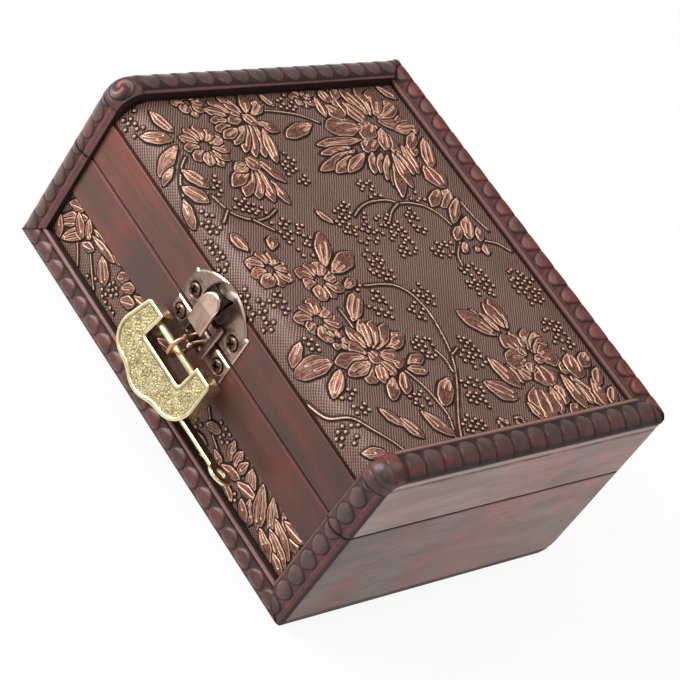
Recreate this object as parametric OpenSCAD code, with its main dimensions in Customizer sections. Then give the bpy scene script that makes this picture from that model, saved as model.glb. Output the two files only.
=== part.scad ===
// Small wooden jewelry box with carved mouldings, an embossed cover, a hasp and a padlock.
// Millimetres. Origin: centre of the underside. +Z up, the front with the hasp faces -Y.

/* [Box] */
// Overall width of the box
body_w = 140; // [120:1:200]
// Overall depth of the box, crest of the front moulding to the back board
body_d = 111; // [95:1:160]
// Height of the base, underside to the lid joint
base_h = 37; // [33:0.5:60]
// Height of the lid, from the joint to the crest of the top mouldings
lid_h = 25.2; // [22:0.1:40]
// Open joint between the base and the lid
lid_gap = 0.3; // [0.2:0.05:0.6]
// Thickness of the side and back boards
board_t = 6; // [5:0.25:8]
// Thickness of the front boards behind the rails
front_board_t = 5.5; // [4.5:0.25:7]
// Thickness of the floor panel
floor_t = 1.6; // [1.2:0.1:2.5]
// Thickness of the lid's top panel
top_panel_t = 3.9; // [3:0.1:5]
// Radius of the rounded edge at the bottom of the back
back_edge_r = 5; // [3:0.5:8]

/* [Front] */
// Height of the plain rail under the lid joint
base_rail_h = 13.2; // [12:0.1:16]
// How far the rails stand in front of the front boards
rail_t = 1.5; // [1:0.1:2]

/* [Mouldings] */
// Width of the side mouldings, seen from the front or from above
moulding_w = 8.2; // [7:0.1:10]
// Height of a moulding's crest over its seat
moulding_t = 4; // [3.5:0.1:5]
// Thickness of a moulding at its outer edge
moulding_edge_t = 1; // [0.6:0.1:1.5]
// Distance of the crest from the outer edge
moulding_crest = 4.7; // [4.2:0.1:5.2]
// Radius of the bend over the front corners, at the crest
corner_r = 7.5; // [6.5:0.1:9]
// Width of the moulding along the back of the top
back_moulding_w = 6.4; // [6:0.1:7.5]
// Height of the moulding along the bottom of the front, with its bead
bottom_moulding_h = 8.8; // [8.2:0.1:10]
// Diameter of the bead along the inner edge of the bottom and back mouldings
bead_d = 1.6; // [1.2:0.1:2]
// How far the round boss stands over the crest of each bend
boss_rise = 0.6; // [0.3:0.05:1]

/* [Leather and lining] */
// Thickness of the embossed leather
leather_t = 0.8; // [0.6:0.05:1.2]
// Depth of the top leather below the moulding crest
leather_drop = 3.8; // [3.4:0.1:4.4]
// How far the leather lies behind the face of the rails
leather_recess = 0.4; // [0.2:0.05:0.6]
// Outer radius of the leather's bend over the front edge of the lid
leather_bend_r = 8.2; // [6:0.1:9]
// Groove between the lid rail and the leather
leather_groove = 0.5; // [0.3:0.05:0.8]
// Thickness of the floor pad
floor_lining_t = 1; // [0.8:0.1:2]
// Thickness of the wall and lid linings
lining_t = 0.8; // [0.5:0.1:1.2]
// How far the wall lining ends below the rim of the base
lining_drop = 2; // [1:0.25:4]

/* [Hinges] */
// Distance of each hinge's middle from the side of the box
hinge_inset = 32; // [24:1:40]
// Width of a hinge
hinge_w = 18; // [14:0.5:24]
// Height of a hinge leaf, from the pin's axis
hinge_leaf_h = 8; // [7.5:0.25:10]
// Thickness of a hinge leaf
hinge_leaf_t = 0.8; // [0.6:0.05:0.9]
// Outer diameter of the knuckles
knuckle_d = 2.3; // [2.2:0.05:2.8]
// Diameter of the hinge pins
hinge_pin_d = 1.2; // [1:0.05:1.3]
// Length of the lid's knuckle
lid_knuckle_l = 5.8; // [4.5:0.1:7]
// Distance of the hinge screws from the pin's axis
hinge_screw_z = 5; // [4.4:0.1:5.4]
// Spacing of the two screws of a leaf
hinge_screw_gap = 11; // [9:0.5:12]

/* [Screws] */
// Head diameter of the hasp screws
hasp_head_d = 3.9; // [3.4:0.1:4.2]
// Head height of the hasp screws
hasp_head_h = 0.8; // [0.6:0.05:1]
// Shank diameter of the hasp screws
hasp_shank_d = 1.6; // [1.4:0.05:1.9]
// Shank length of the hasp screws
hasp_shank_l = 5; // [4:0.1:6]
// Head diameter of the hinge screws
hinge_head_d = 2.6; // [2.2:0.1:3]
// Head height of the hinge screws
hinge_head_h = 0.5; // [0.4:0.05:0.7]
// Shank diameter of the hinge screws
hinge_shank_d = 1.2; // [1:0.05:1.4]
// Shank length of the hinge screws
hinge_shank_l = 4; // [3:0.1:5]

/* [Hasp plates] */
// Width of both hasp plates
hasp_w = 26; // [25:0.5:30]
// Thickness of the hasp plates
hasp_t = 0.8; // [0.6:0.05:1]
// Height of the upper plate at its middle
upper_plate_h = 15.2; // [14.6:0.1:17]
// Height of the upper plate's straight sides
upper_side_h = 9.2; // [8.5:0.1:10]
// Height of the lower plate
lower_plate_h = 6.2; // [5.6:0.1:6.4]
// Height of the upper plate's lower edge over the lid joint
upper_plate_rise = 0.7; // [0.5:0.05:1]
// Distance of the lower plate's upper edge below the lid joint
lower_plate_drop = 0.2; // [0.1:0.05:0.4]
// Spacing of the screws in the upper plate
upper_screw_gap = 18.8; // [17.8:0.1:19.4]
// Height of the upper screws over the plate's lower edge
upper_screw_rise = 4.4; // [3.8:0.1:5]
// Spacing of the screws in the lower plate
lower_screw_gap = 19.2; // [18.6:0.1:20]
// Radius of the pressed dome that holds the tongue's pin
dome_r = 5.7; // [5.6:0.05:5.9]
// Height of the dome's middle over the upper plate's lower edge
dome_rise = 9.6; // [9.4:0.05:9.8]
// Depth of the dome's middle below the plate's face
dome_sink = 0.3; // [0.2:0.05:0.4]

/* [Tongue] */
// Height of the tongue's pivot over the upper plate's lower edge
pivot_rise = 11.2; // [11:0.05:11.4]
// Distance of the tongue's pivot in front of the rails
pivot_out = 3.1; // [3:0.05:3.2]
// Diameter of the tongue's pin
pivot_pin_d = 0.9; // [0.8:0.05:0.95]
// Diameter of the tongue's hub
hub_d = 2.7; // [2.4:0.1:2.8]
// Width of the thumb piece
thumb_w = 6.6; // [6:0.1:6.8]
// Thickness of the thumb piece
thumb_t = 1.1; // [0.9:0.05:1.2]
// Distance of the thumb piece's face in front of the rails, at the crease
thumb_out = 6.2; // [6:0.05:6.4]
// How far the thumb piece rises over the pivot
thumb_over = 2; // [1.8:0.05:2]
// How far the crease lies below the pivot
crease_drop = 2.6; // [2.2:0.1:3]
// How far the thumb piece reaches below the pivot
thumb_drop = 10.3; // [9.5:0.1:11]
// Width of the tongue's frame
frame_w = 11.6; // [11:0.1:12]
// Width of the frame's arms
arm_w = 2.05; // [1.8:0.05:2.2]
// Thickness of the frame
frame_t = 0.9; // [0.7:0.05:1]
// How far the frame reaches below the pivot
frame_drop = 17.2; // [16.8:0.05:17.4]

/* [Staple and ring] */
// Overall width of the staple's two lugs
staple_w = 3.6; // [3.2:0.1:3.8]
// Thickness of a lug
lug_t = 0.9; // [0.7:0.05:1]
// Diameter of the staple's pin
staple_pin_d = 1.2; // [1:0.05:1.3]
// Outer diameter of the wire ring
ring_d = 8.6; // [8.4:0.05:8.8]
// Diameter of the ring's wire
ring_wire_d = 1.3; // [1.2:0.05:1.4]
// Clearance between the ring's wire and the staple's pin
ring_clear = 0.15; // [0.1:0.01:0.2]
// Distance of the ring's middle in front of the rails
ring_out = 5.5; // [5.4:0.05:5.6]
// Distance of the ring's middle below the lid joint
ring_drop = 5.7; // [5.6:0.05:5.8]

/* [Padlock] */
// Diameter of the padlock's bar
bar_d = 2.2; // [2:0.05:2.3]
// Thickness of the padlock
lock_t = 5.4; // [5.2:0.1:6]
// Width of the padlock's window
window_w = 17.6; // [17:0.1:19]
// Depth of the window below the ears' inner corners
window_h = 6.2; // [6:0.1:7]
// Height of the bar's axis over the window's lower edge
bar_rise = 4.5; // [4.4:0.05:4.6]
// Distance of the bar's axis behind the padlock's face
bar_depth = 2.5; // [2.4:0.05:2.6]
// Radius of the two side lobes
side_lobe_r = 7.5; // [7:0.1:8]
// Distance of the side lobes' middles from the padlock's middle
side_lobe_x = 9.5; // [9:0.1:10]
// Distance of the side lobes' middles below the window's lower edge
side_lobe_drop = 1.5; // [1.2:0.1:2]
// Radius of the middle lobe
mid_lobe_r = 9; // [8.5:0.1:9.5]
// Distance of the middle lobe's centre below the window's lower edge
mid_lobe_drop = 2.6; // [2.2:0.1:3]
// Width of the raised rim round the padlock's face
rim_w = 0.9; // [0.7:0.05:1.1]
// Height of the raised rim
rim_h = 0.35; // [0.2:0.05:0.5]
// Thickness of the padlock's front and back walls
lock_wall = 0.7; // [0.6:0.05:0.8]
// Forward tilt of the hanging padlock, in degrees
lock_tilt = 19; // [17:0.5:19]

/* [Key] */
// Width of the key's blade
key_w = 3.8; // [3.4:0.1:3.9]
// Thickness of the key
key_t = 1; // [0.8:0.05:1.1]
// Length of the key
key_l = 33.5; // [31:0.5:36]
// Length of the blade that is inside the padlock
key_in = 11.5; // [11:0.25:12]
// Diameter of the key's round head
key_head_d = 7.6; // [7:0.1:8]
// Diameter of the hole in the head
key_hole_d = 2.8; // [2.4:0.1:3.2]

/* [Hidden] */
$fn = 64;

// Overrun that carries a cut past the surface it opens
cut = 0.5;
// Radial clearance of pins and screws in their holes
hole_clear = 0.05;
// Clearance between pieces that turn or slide past each other
run_clear = 0.2;

wood = "#7a4740";
wood_dark = "#5a3430";
leather = "#6e5348";
velvet = "#5b1f28";
bronze = "#7d6a5c";
copper = "#b0714c";
brass = "#b9a85c";
steel = "#8d8478";

front_y = -body_d / 2;
back_y = body_d / 2;
side_x = body_w / 2;
seat_y = front_y + moulding_t;
rail_y = seat_y - rail_t;
inner_x = side_x - board_t;
inner_front_y = seat_y + front_board_t;
inner_back_y = back_y - board_t;
field_x = side_x - moulding_w;
lid_z = base_h + lid_gap;
body_h = lid_z + lid_h;
top_seat_z = body_h - moulding_t;
bend_y = front_y + corner_r;
bend_z = body_h - corner_r;
seat_r = corner_r - moulding_t;
field_back_y = back_y - back_moulding_w;

leather_y = rail_y + leather_recess;
leather_top = body_h - leather_drop;
leather_z = leather_top - leather_bend_r;
rail_top = leather_z - leather_groove;
nose_y = leather_y + leather_bend_r;
panel_under = leather_top - leather_t - top_panel_t;

hinge_y = back_y + knuckle_d / 2 + hole_clear;
hinge_z = base_h + lid_gap / 2;
hinge_x = side_x - hinge_inset;
leaf_lift = knuckle_d / 2 + run_clear;
outer_knuckle_l = (hinge_w - lid_knuckle_l) / 2 - run_clear / 2;

upper_plate_z = base_h + lid_gap + upper_plate_rise;
lower_plate_z = base_h - lower_plate_drop - lower_plate_h;
plate_y = rail_y - hasp_t;
cusp_w = hasp_w / 24;
arc_half = hasp_w / 2 - cusp_w;
arc_rise = upper_plate_h - upper_side_h;
arc_r = (pow(arc_half, 2) + pow(arc_rise, 2)) / (2 * arc_rise);
upper_screw_z = upper_plate_z + upper_screw_rise;
lower_screw_z = lower_plate_z + lower_plate_h / 2;

pivot_y = rail_y - pivot_out;
pivot_z = upper_plate_z + pivot_rise;
slot_half = thumb_w / 2 + 1.5 * run_clear;
dome_y = plate_y + dome_sink;
dome_z = upper_plate_z + dome_rise;
dome_low_z = dome_z - dome_r * 0.74;
slit_half = staple_w / 2 + 2.5 * run_clear;
shoulder_z = dome_low_z - run_clear;

ring_y = rail_y - ring_out;
ring_z = base_h - ring_drop;
ring_mid_r = (ring_d - ring_wire_d) / 2;
staple_reach = ring_mid_r - (ring_wire_d + staple_pin_d) / 2 - ring_clear;
staple_y = ring_y + staple_reach * sin(45);
staple_z = ring_z + staple_reach * cos(45);
lug_r = staple_pin_d;

bar_y = ring_y - ring_wire_d / 6;
bar_z = ring_z - (ring_mid_r - (ring_wire_d + bar_d) / 2 - 2 * ring_clear);
side_lobe_out = side_lobe_x + side_lobe_r;
ear_top = window_h + rim_w + rim_h;
ear_in = window_w / 2;
end_depth = 2.3 * rim_w;
end_x = side_lobe_out - end_depth;
tunnel_z = -side_lobe_r * 0.66;
tunnel_h = key_t + 6 * run_clear;
tunnel_w = lock_t - 2 * lock_wall;
key_tip_x = end_x + end_depth / 2 - key_in;
stem_tip_x = key_tip_x - run_clear;
stem_w = tunnel_w / 4;

// Extrudes a shape drawn in y and z along x, from x0
module along_x(x0, length) {
    translate([x0, 0, 0])
        rotate([90, 0, 90])
            linear_extrude(height = length)
                children();
}

// Extrudes a shape drawn in x and z towards the front, from y0
module along_y(y0, length) {
    translate([0, y0, 0])
        rotate([90, 0, 0])
            linear_extrude(height = length)
                children();
}

// Extrudes a shape drawn in x and y upwards, from z0
module along_z(z0, length) {
    translate([0, 0, z0])
        linear_extrude(height = length)
            children();
}

// Rectangle between two corners
module box2(a, b) {
    translate(a)
        square(b - a);
}

// Block between two corners
module box3(a, b) {
    translate(a)
        cube(b - a);
}

// Rod along x, from its left end
module rod_x(x0, length, d) {
    translate([x0, 0, 0])
        rotate([0, 90, 0])
            cylinder(h = length, d = d);
}

// Rod that starts at y0 and runs towards the back
module rod_y(y0, length, d) {
    translate([0, y0, 0])
        rotate([-90, 0, 0])
            cylinder(h = length, d = d);
}

// Keeps a right-hand piece or makes its left-hand twin
module on_side(side) {
    mirror([side < 0 ? 1 : 0, 0, 0])
        children();
}

// Domed moulding in section: u runs inwards from the outer edge, v away from the seat
module moulding_shape(w = moulding_w, crest = moulding_crest) {
    sink = (pow(moulding_t, 2) - pow(moulding_edge_t, 2) - pow(crest, 2))
        / (2 * (moulding_t - moulding_edge_t));
    intersection() {
        square([w, moulding_t]);
        translate([crest, sink])
            circle(r = moulding_t - sink);
    }
}

// Moulding with a narrow bead along its inner edge
module beaded_shape(w) {
    band = w - bead_d;
    moulding_shape(band, moulding_crest * band / moulding_w);
    translate([band, 0])
        square([bead_d, moulding_t / 2]);
    translate([w - bead_d / 2, moulding_t / 2])
        circle(d = bead_d);
}

// Outline of the base in y and z, with its rounded edge at the back
module base_outline() {
    box2([seat_y, 0], [back_y - back_edge_r, base_h]);
    box2([seat_y, back_edge_r], [back_y, base_h]);
    translate([back_y - back_edge_r, back_edge_r])
        circle(r = back_edge_r);
}

// Outline of a lid side in y and z, under its mouldings
module lid_side_outline() {
    box2([seat_y, lid_z], [back_y, bend_z]);
    box2([bend_y, lid_z], [back_y, top_seat_z]);
    translate([bend_y, bend_z])
        circle(r = seat_r);
}

// Rounded nose and flat top that the leather follows, in y and z
module nose_outline(inset) {
    intersection() {
        translate([nose_y, leather_z])
            circle(r = leather_bend_r - inset);
        box2([leather_y, leather_z], [nose_y, leather_top]);
    }
    box2([nose_y, leather_z], [field_back_y, leather_top - inset]);
}

// Pan head screw with a cross recess, head towards -y, seat at y = 0
module pan_screw(head_d, head_h, shank_d, shank_l) {
    slot_w = head_d / 8;
    slot_l = head_d * 0.5;
    ball_r = (pow(head_d / 2, 2) + pow(head_h, 2)) / (2 * head_h);
    difference() {
        intersection() {
            rod_y(-head_h, head_h, head_d);
            translate([0, ball_r - head_h, 0])
                sphere(r = ball_r);
        }
        for (turn = [0, 90])
            rotate([0, turn, 0])
                box3([-slot_l / 2, -head_h - cut, -slot_w / 2],
                     [slot_l / 2, -head_h * 0.4, slot_w / 2]);
    }
    rod_y(0, shank_l, shank_d);
}

// Places something at each screw of the upper hasp plate
module at_upper_screws() {
    for (side = [-1, 1])
        translate([side * upper_screw_gap / 2, plate_y, upper_screw_z])
            children();
}

// Places something at each screw of the lower hasp plate
module at_lower_screws() {
    for (side = [-1, 1])
        translate([side * lower_screw_gap / 2, plate_y, lower_screw_z])
            children();
}

// Pilot hole of a hasp screw, from the plate's face into the boards
module hasp_pilot() {
    rod_y(-cut, hasp_shank_l + cut, hasp_shank_d + 2 * hole_clear);
}

// Places something at each hinge screw, above (1) or below (-1) the pin
module at_hinge_screws(level) {
    for (side = [-1, 1], along = [-1, 1])
        translate([side * hinge_x + along * hinge_screw_gap / 2, back_y + hinge_leaf_t,
                   hinge_z + level * hinge_screw_z])
            rotate([0, 0, 180])
                children();
}

// Pilot hole of a hinge screw
module hinge_pilot() {
    rod_y(-cut, hinge_shank_l + cut, hinge_shank_d + 2 * hole_clear);
}

// Places something at the middle of both hinges
module at_hinges() {
    for (side = [-1, 1])
        translate([side * hinge_x, hinge_y, hinge_z])
            children();
}

// One knuckle with its bore and the web that joins it to a leaf above or below
module knuckle(x0, length, level) {
    difference() {
        union() {
            rod_x(x0, length, knuckle_d);
            mirror([0, 0, level > 0 ? 1 : 0])
                box3([x0, back_y - hinge_y, -leaf_lift],
                     [x0 + length, back_y - hinge_y + hinge_leaf_t, 0]);
        }
        rod_x(x0 - cut, length + 2 * cut, hinge_pin_d + 2 * hole_clear);
    }
}

// Flat of a hinge leaf above (1) or below (-1) the pin
module leaf_flat(level) {
    mirror([0, 0, level > 0 ? 1 : 0])
        box3([-hinge_w / 2, back_y - hinge_y, -hinge_leaf_h],
             [hinge_w / 2, back_y - hinge_y + hinge_leaf_t, -leaf_lift]);
}

module floor_panel() {
    color(wood_dark)
        along_x(-side_x, body_w)
            intersection() {
                base_outline();
                box2([seat_y, 0], [back_y, floor_t]);
            }
}

module base_side(side) {
    color(wood)
        on_side(side)
            along_x(inner_x, board_t)
                intersection() {
                    base_outline();
                    box2([seat_y, floor_t], [back_y, base_h]);
                }
}

module base_front_board() {
    color(wood_dark)
        difference() {
            box3([-inner_x, seat_y, floor_t], [inner_x, inner_front_y, base_h]);
            at_lower_screws()
                hasp_pilot();
        }
}

module base_back_board() {
    color(wood)
        difference() {
            along_x(-inner_x, 2 * inner_x)
                intersection() {
                    base_outline();
                    box2([inner_back_y, floor_t], [back_y, base_h]);
                }
            at_hinge_screws(-1)
                hinge_pilot();
        }
}

module base_front_rail() {
    color(wood)
        difference() {
            box3([-field_x, rail_y, base_h - base_rail_h], [field_x, seat_y, base_h]);
            at_lower_screws()
                hasp_pilot();
        }
}

module front_leather_panel() {
    color(leather)
        box3([-field_x, seat_y - leather_t, bottom_moulding_h],
             [field_x, seat_y, base_h - base_rail_h]);
}

module front_bottom_moulding() {
    color(wood_dark)
        intersection() {
            along_x(-side_x, body_w)
                translate([seat_y, 0])
                    rotate(90)
                        beaded_shape(bottom_moulding_h);
            along_y(seat_y, moulding_t)
                polygon([[-side_x, 0], [side_x, 0],
                         [field_x, bottom_moulding_h], [-field_x, bottom_moulding_h]]);
        }
}

module base_moulding(side) {
    color(wood_dark)
        on_side(side)
            intersection() {
                along_z(0, base_h)
                    translate([side_x, seat_y])
                        rotate(180)
                            moulding_shape();
                along_y(seat_y, moulding_t)
                    polygon([[side_x, 0], [side_x, base_h],
                             [field_x, base_h], [field_x, bottom_moulding_h]]);
            }
}

module floor_lining() {
    color(velvet)
        box3([-inner_x, inner_front_y, floor_t], [inner_x, inner_back_y, floor_t + floor_lining_t]);
}

module base_wall_lining() {
    color(velvet)
        difference() {
            box3([-inner_x, inner_front_y, floor_t + floor_lining_t],
                 [inner_x, inner_back_y, base_h - lining_drop]);
            box3([-inner_x + lining_t, inner_front_y + lining_t, 0],
                 [inner_x - lining_t, inner_back_y - lining_t, base_h]);
        }
}

module base_hinge_leaves() {
    color(bronze)
        difference() {
            at_hinges() {
                leaf_flat(-1);
                knuckle(-hinge_w / 2, outer_knuckle_l, -1);
                knuckle(hinge_w / 2 - outer_knuckle_l, outer_knuckle_l, -1);
            }
            at_hinge_screws(-1)
                hinge_pilot();
        }
}

module hinge_pins() {
    color(steel)
        at_hinges()
            rod_x(-hinge_w / 2, hinge_w, hinge_pin_d);
}

module base_hinge_screws() {
    color(bronze)
        at_hinge_screws(-1)
            pan_screw(hinge_head_d, hinge_head_h, hinge_shank_d, hinge_shank_l);
}

// One lug of the staple in y and z: it bends out of the plate and carries the pin
module lug_outline() {
    difference() {
        union() {
            translate([staple_y, staple_z])
                circle(r = lug_r);
            box2([staple_y, staple_z - lug_r], [plate_y + hasp_t / 2, staple_z + lug_r]);
        }
        translate([staple_y, staple_z])
            circle(d = staple_pin_d + 2 * hole_clear);
    }
}

module lower_hasp_plate() {
    color(bronze)
        difference() {
            union() {
                box3([-hasp_w / 2, plate_y, lower_plate_z],
                     [hasp_w / 2, rail_y, lower_plate_z + lower_plate_h]);
                for (x0 = [-staple_w / 2, staple_w / 2 - lug_t])
                    along_x(x0, lug_t)
                        lug_outline();
            }
            at_lower_screws()
                hasp_pilot();
        }
}

module staple_pin() {
    color(steel)
        translate([0, staple_y, staple_z])
            rod_x(-staple_w / 2, staple_w, staple_pin_d);
}

module lower_hasp_screws() {
    color(bronze)
        at_lower_screws()
            pan_screw(hasp_head_d, hasp_head_h, hasp_shank_d, hasp_shank_l);
}

module lid_top_panel() {
    color(wood_dark)
        difference() {
            along_x(-inner_x, 2 * inner_x)
                difference() {
                    intersection() {
                        nose_outline(leather_t);
                        box2([leather_y, leather_z], [inner_back_y, leather_top]);
                    }
                    box2([inner_front_y, leather_z - cut], [inner_back_y + cut, panel_under]);
                }
            // The nose ends beside the front mouldings
            for (flip = [0, 1])
                mirror([flip, 0, 0])
                    box3([field_x, leather_y, lid_z], [side_x, seat_y, body_h]);
        }
}

module lid_front_board() {
    color(wood_dark)
        difference() {
            box3([-inner_x, seat_y, lid_z], [inner_x, inner_front_y, leather_z]);
            at_upper_screws()
                hasp_pilot();
        }
}

module lid_back_board() {
    color(wood)
        difference() {
            box3([-inner_x, inner_back_y, lid_z], [inner_x, back_y, top_seat_z]);
            at_hinge_screws(1)
                hinge_pilot();
        }
}

module lid_side(side) {
    color(wood)
        on_side(side)
            along_x(inner_x, board_t)
                lid_side_outline();
}

module lid_front_rail() {
    color(wood)
        difference() {
            box3([-field_x, rail_y, lid_z], [field_x, seat_y, rail_top]);
            at_upper_screws()
                hasp_pilot();
        }
}

module top_leather_cover() {
    color(leather)
        along_x(-field_x, 2 * field_x)
            difference() {
                nose_outline(0);
                nose_outline(leather_t);
            }
}

module lid_moulding(side) {
    color(wood_dark)
        on_side(side)
            along_z(lid_z, bend_z - lid_z)
                translate([side_x, seat_y])
                    rotate(180)
                        moulding_shape();
}

module corner_moulding(side) {
    boss_r = moulding_w / 2.6;
    color(wood_dark)
        on_side(side)
            translate([side_x, bend_y, bend_z]) {
                rotate([90, 0, -90])
                    rotate_extrude(angle = 90)
                        translate([seat_r, 0])
                            mirror([1, -1, 0])
                                moulding_shape();
                rotate([-45, 0, 0])
                    intersection() {
                        translate([-moulding_crest, -corner_r + boss_r - boss_rise, 0])
                            sphere(r = boss_r);
                        box3([-moulding_w, -corner_r - moulding_t, -boss_r],
                             [0, -seat_r - moulding_t / 2, boss_r]);
                    }
            }
}

module top_moulding(side) {
    color(wood_dark)
        on_side(side)
            intersection() {
                along_y(back_y, back_y - bend_y)
                    translate([side_x, top_seat_z])
                        mirror([1, 0])
                            moulding_shape();
                along_z(top_seat_z, moulding_t)
                    polygon([[field_x, bend_y], [side_x, bend_y],
                             [side_x, back_y], [field_x, field_back_y]]);
            }
}

module back_top_moulding() {
    color(wood_dark)
        intersection() {
            along_x(-side_x, body_w)
                translate([back_y, top_seat_z])
                    mirror([1, 0])
                        beaded_shape(back_moulding_w);
            along_z(top_seat_z, moulding_t)
                polygon([[-side_x, back_y], [side_x, back_y],
                         [field_x, field_back_y], [-field_x, field_back_y]]);
        }
}

module lid_lining() {
    color(velvet)
        box3([-inner_x, inner_front_y, panel_under - lining_t], [inner_x, inner_back_y, panel_under]);
}

module lid_hinge_leaves() {
    color(bronze)
        difference() {
            at_hinges() {
                leaf_flat(1);
                knuckle(-lid_knuckle_l / 2, lid_knuckle_l, 1);
            }
            at_hinge_screws(1)
                hinge_pilot();
        }
}

module lid_hinge_screws() {
    color(bronze)
        at_hinge_screws(1)
            pan_screw(hinge_head_d, hinge_head_h, hinge_shank_d, hinge_shank_l);
}

// Upper plate in x and z: straight sides that end in small points, and an arched top
module upper_plate_outline() {
    box2([-hasp_w / 2, upper_plate_z], [hasp_w / 2, upper_plate_z + upper_side_h]);
    intersection() {
        translate([0, upper_plate_z + upper_plate_h - arc_r])
            circle(r = arc_r);
        box2([-arc_half, upper_plate_z], [arc_half, upper_plate_z + upper_plate_h]);
    }
}

module upper_hasp_plate() {
    color(bronze)
        difference() {
            union() {
                along_y(rail_y, hasp_t)
                    upper_plate_outline();
                intersection() {
                    translate([0, dome_y, dome_z])
                        sphere(r = dome_r);
                    box3([-dome_r, dome_y - dome_r, dome_low_z],
                         [dome_r, rail_y - hasp_t / 2, dome_z + dome_r]);
                }
            }
            // Slot through the dome for the tongue
            box3([-slot_half, plate_y - 2 * dome_r, dome_low_z - cut], [slot_half, plate_y, pivot_z]);
            intersection() {
                translate([0, pivot_y, pivot_z])
                    rod_x(-slot_half, 2 * slot_half, dome_r * 1.3);
                box3([-dome_r, plate_y - 2 * dome_r, 0], [dome_r, plate_y, body_h]);
            }
            translate([0, pivot_y, pivot_z])
                rod_x(-dome_r * 0.76, dome_r * 1.52, pivot_pin_d + 2 * hole_clear);
            at_upper_screws()
                hasp_pilot();
        }
}

module tongue_pin() {
    color(steel)
        translate([0, pivot_y, pivot_z])
            rod_x(-dome_r * 0.75, dome_r * 1.5, pivot_pin_d);
}

module upper_hasp_screws() {
    color(bronze)
        at_upper_screws()
            pan_screw(hasp_head_d, hasp_head_h, hasp_shank_d, hasp_shank_l);
}

// Thumb piece from the side, in y and z from the pivot: it leans back over the crease
module thumb_profile() {
    face = pivot_out - thumb_out;
    lean = (thumb_over + crease_drop) * 0.27;
    settle = thumb_t * 0.25;
    polygon([[face + lean, thumb_over], [face, -crease_drop],
             [face + settle, -thumb_drop], [face + settle + thumb_t, -thumb_drop],
             [face + thumb_t, -crease_drop], [face + lean + thumb_t, thumb_over]]);
}

// Thumb piece from the front, in x and z from the pivot: its top is a half circle
module thumb_front() {
    translate([0, thumb_over - thumb_w / 2])
        circle(d = thumb_w);
    box2([-thumb_w / 2, -thumb_drop], [thumb_w / 2, thumb_over - thumb_w / 2]);
}

// Frame from the side: it hangs behind the thumb piece and leans out towards its end
module frame_profile() {
    back = pivot_out - hasp_t - 1.5 * run_clear;
    near = back - frame_t;
    swing = frame_t * 0.9;
    top = shoulder_z - pivot_z;
    polygon([[0, 0], [0, -hub_d / 2], [back, top], [back - swing, -frame_drop],
             [near - swing, -frame_drop], [near, top], [-hub_d / 2, 0]]);
}

// Frame from the front: a web, two arms and the stubs of its lower bar
module frame_front() {
    half = frame_w / 2;
    top = shoulder_z - pivot_z;
    bar_h = arm_w * 0.75;
    box2([-thumb_w / 2, top - arm_w], [thumb_w / 2, 0]);
    box2([-half, top - arm_w * 0.7], [half, top]);
    for (flip = [0, 1])
        mirror([flip, 0]) {
            box2([half - arm_w, -frame_drop], [half, top]);
            box2([slit_half, -frame_drop], [half, -frame_drop + bar_h]);
        }
}

module hasp_tongue() {
    color(copper)
        translate([0, pivot_y, pivot_z])
            difference() {
                union() {
                    intersection() {
                        along_x(-thumb_w / 2, thumb_w)
                            thumb_profile();
                        along_y(hub_d, 2 * thumb_out)
                            thumb_front();
                    }
                    intersection() {
                        along_x(-frame_w / 2, frame_w)
                            frame_profile();
                        along_y(2 * pivot_out, 4 * pivot_out)
                            frame_front();
                    }
                    rod_x(-thumb_w * 0.45, thumb_w * 0.9, hub_d);
                }
                rod_x(-thumb_w, 2 * thumb_w, pivot_pin_d + 2 * hole_clear);
            }
}

module lock_ring() {
    color(copper)
        translate([0, ring_y, ring_z])
            rotate([0, 90, 0])
                rotate_extrude()
                    translate([ring_mid_r, 0])
                        circle(d = ring_wire_d);
}

// Puts the padlock's pieces in their hanging place. They are drawn upright, in x and z
// from the middle of the window's lower edge, with the face at y = 0
module hang_padlock() {
    translate([0, bar_y, bar_z])
        rotate([-lock_tilt, 0, 0])
            translate([0, -bar_depth, -bar_rise])
                children();
}

// Cloud-shaped slab of the padlock that ends at y0, drawn in by an inset
module padlock_slab(y0, inset = 0) {
    depth = y0 + (inset > 0 ? cut : 0);
    along_y(y0, depth)
        translate([0, -mid_lobe_drop])
            circle(r = mid_lobe_r - inset);
    for (flip = [0, 1])
        mirror([flip, 0, 0]) {
            along_y(y0, depth)
                translate([side_lobe_x, -side_lobe_drop])
                    circle(r = side_lobe_r - inset);
            along_y(y0, depth)
                polygon([[ear_in - rim_w, -side_lobe_drop], [ear_in - rim_w, window_h - inset],
                         [side_lobe_out - 1.6 * rim_w - inset, ear_top - inset],
                         [side_lobe_out - 0.2 * rim_w - inset, window_h * 0.6],
                         [side_lobe_out - rim_w - inset, -side_lobe_drop]]);
        }
}

// Window between the ears, widened by an inset
module window_cut(inset = 0) {
    box3([-ear_in - inset, -2 * cut, -inset], [ear_in + inset, lock_t + cut, 2 * ear_top]);
}

module padlock_body() {
    color(brass)
        hang_padlock()
            difference() {
                padlock_slab(lock_t);
                window_cut();
                // Sunk field inside the raised rim
                difference() {
                    padlock_slab(rim_h, rim_w);
                    window_cut(rim_w);
                }
                // Bore of the bar through both ears
                translate([0, bar_depth, bar_rise])
                    rod_x(-2 * side_lobe_out, 4 * side_lobe_out, bar_d + 2 * hole_clear);
                // Open mouths at both ends
                for (flip = [0, 1])
                    mirror([flip, 0, 0])
                        box3([end_x, lock_wall, tunnel_z - tunnel_h / 2],
                             [2 * side_lobe_out, lock_t - lock_wall, window_h - rim_w]);
                // Tunnel for the springs and the key
                box3([-2 * side_lobe_out, lock_wall, tunnel_z - tunnel_h / 2],
                     [2 * side_lobe_out, lock_t - lock_wall, tunnel_z + tunnel_h / 2]);
            }
}

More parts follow.
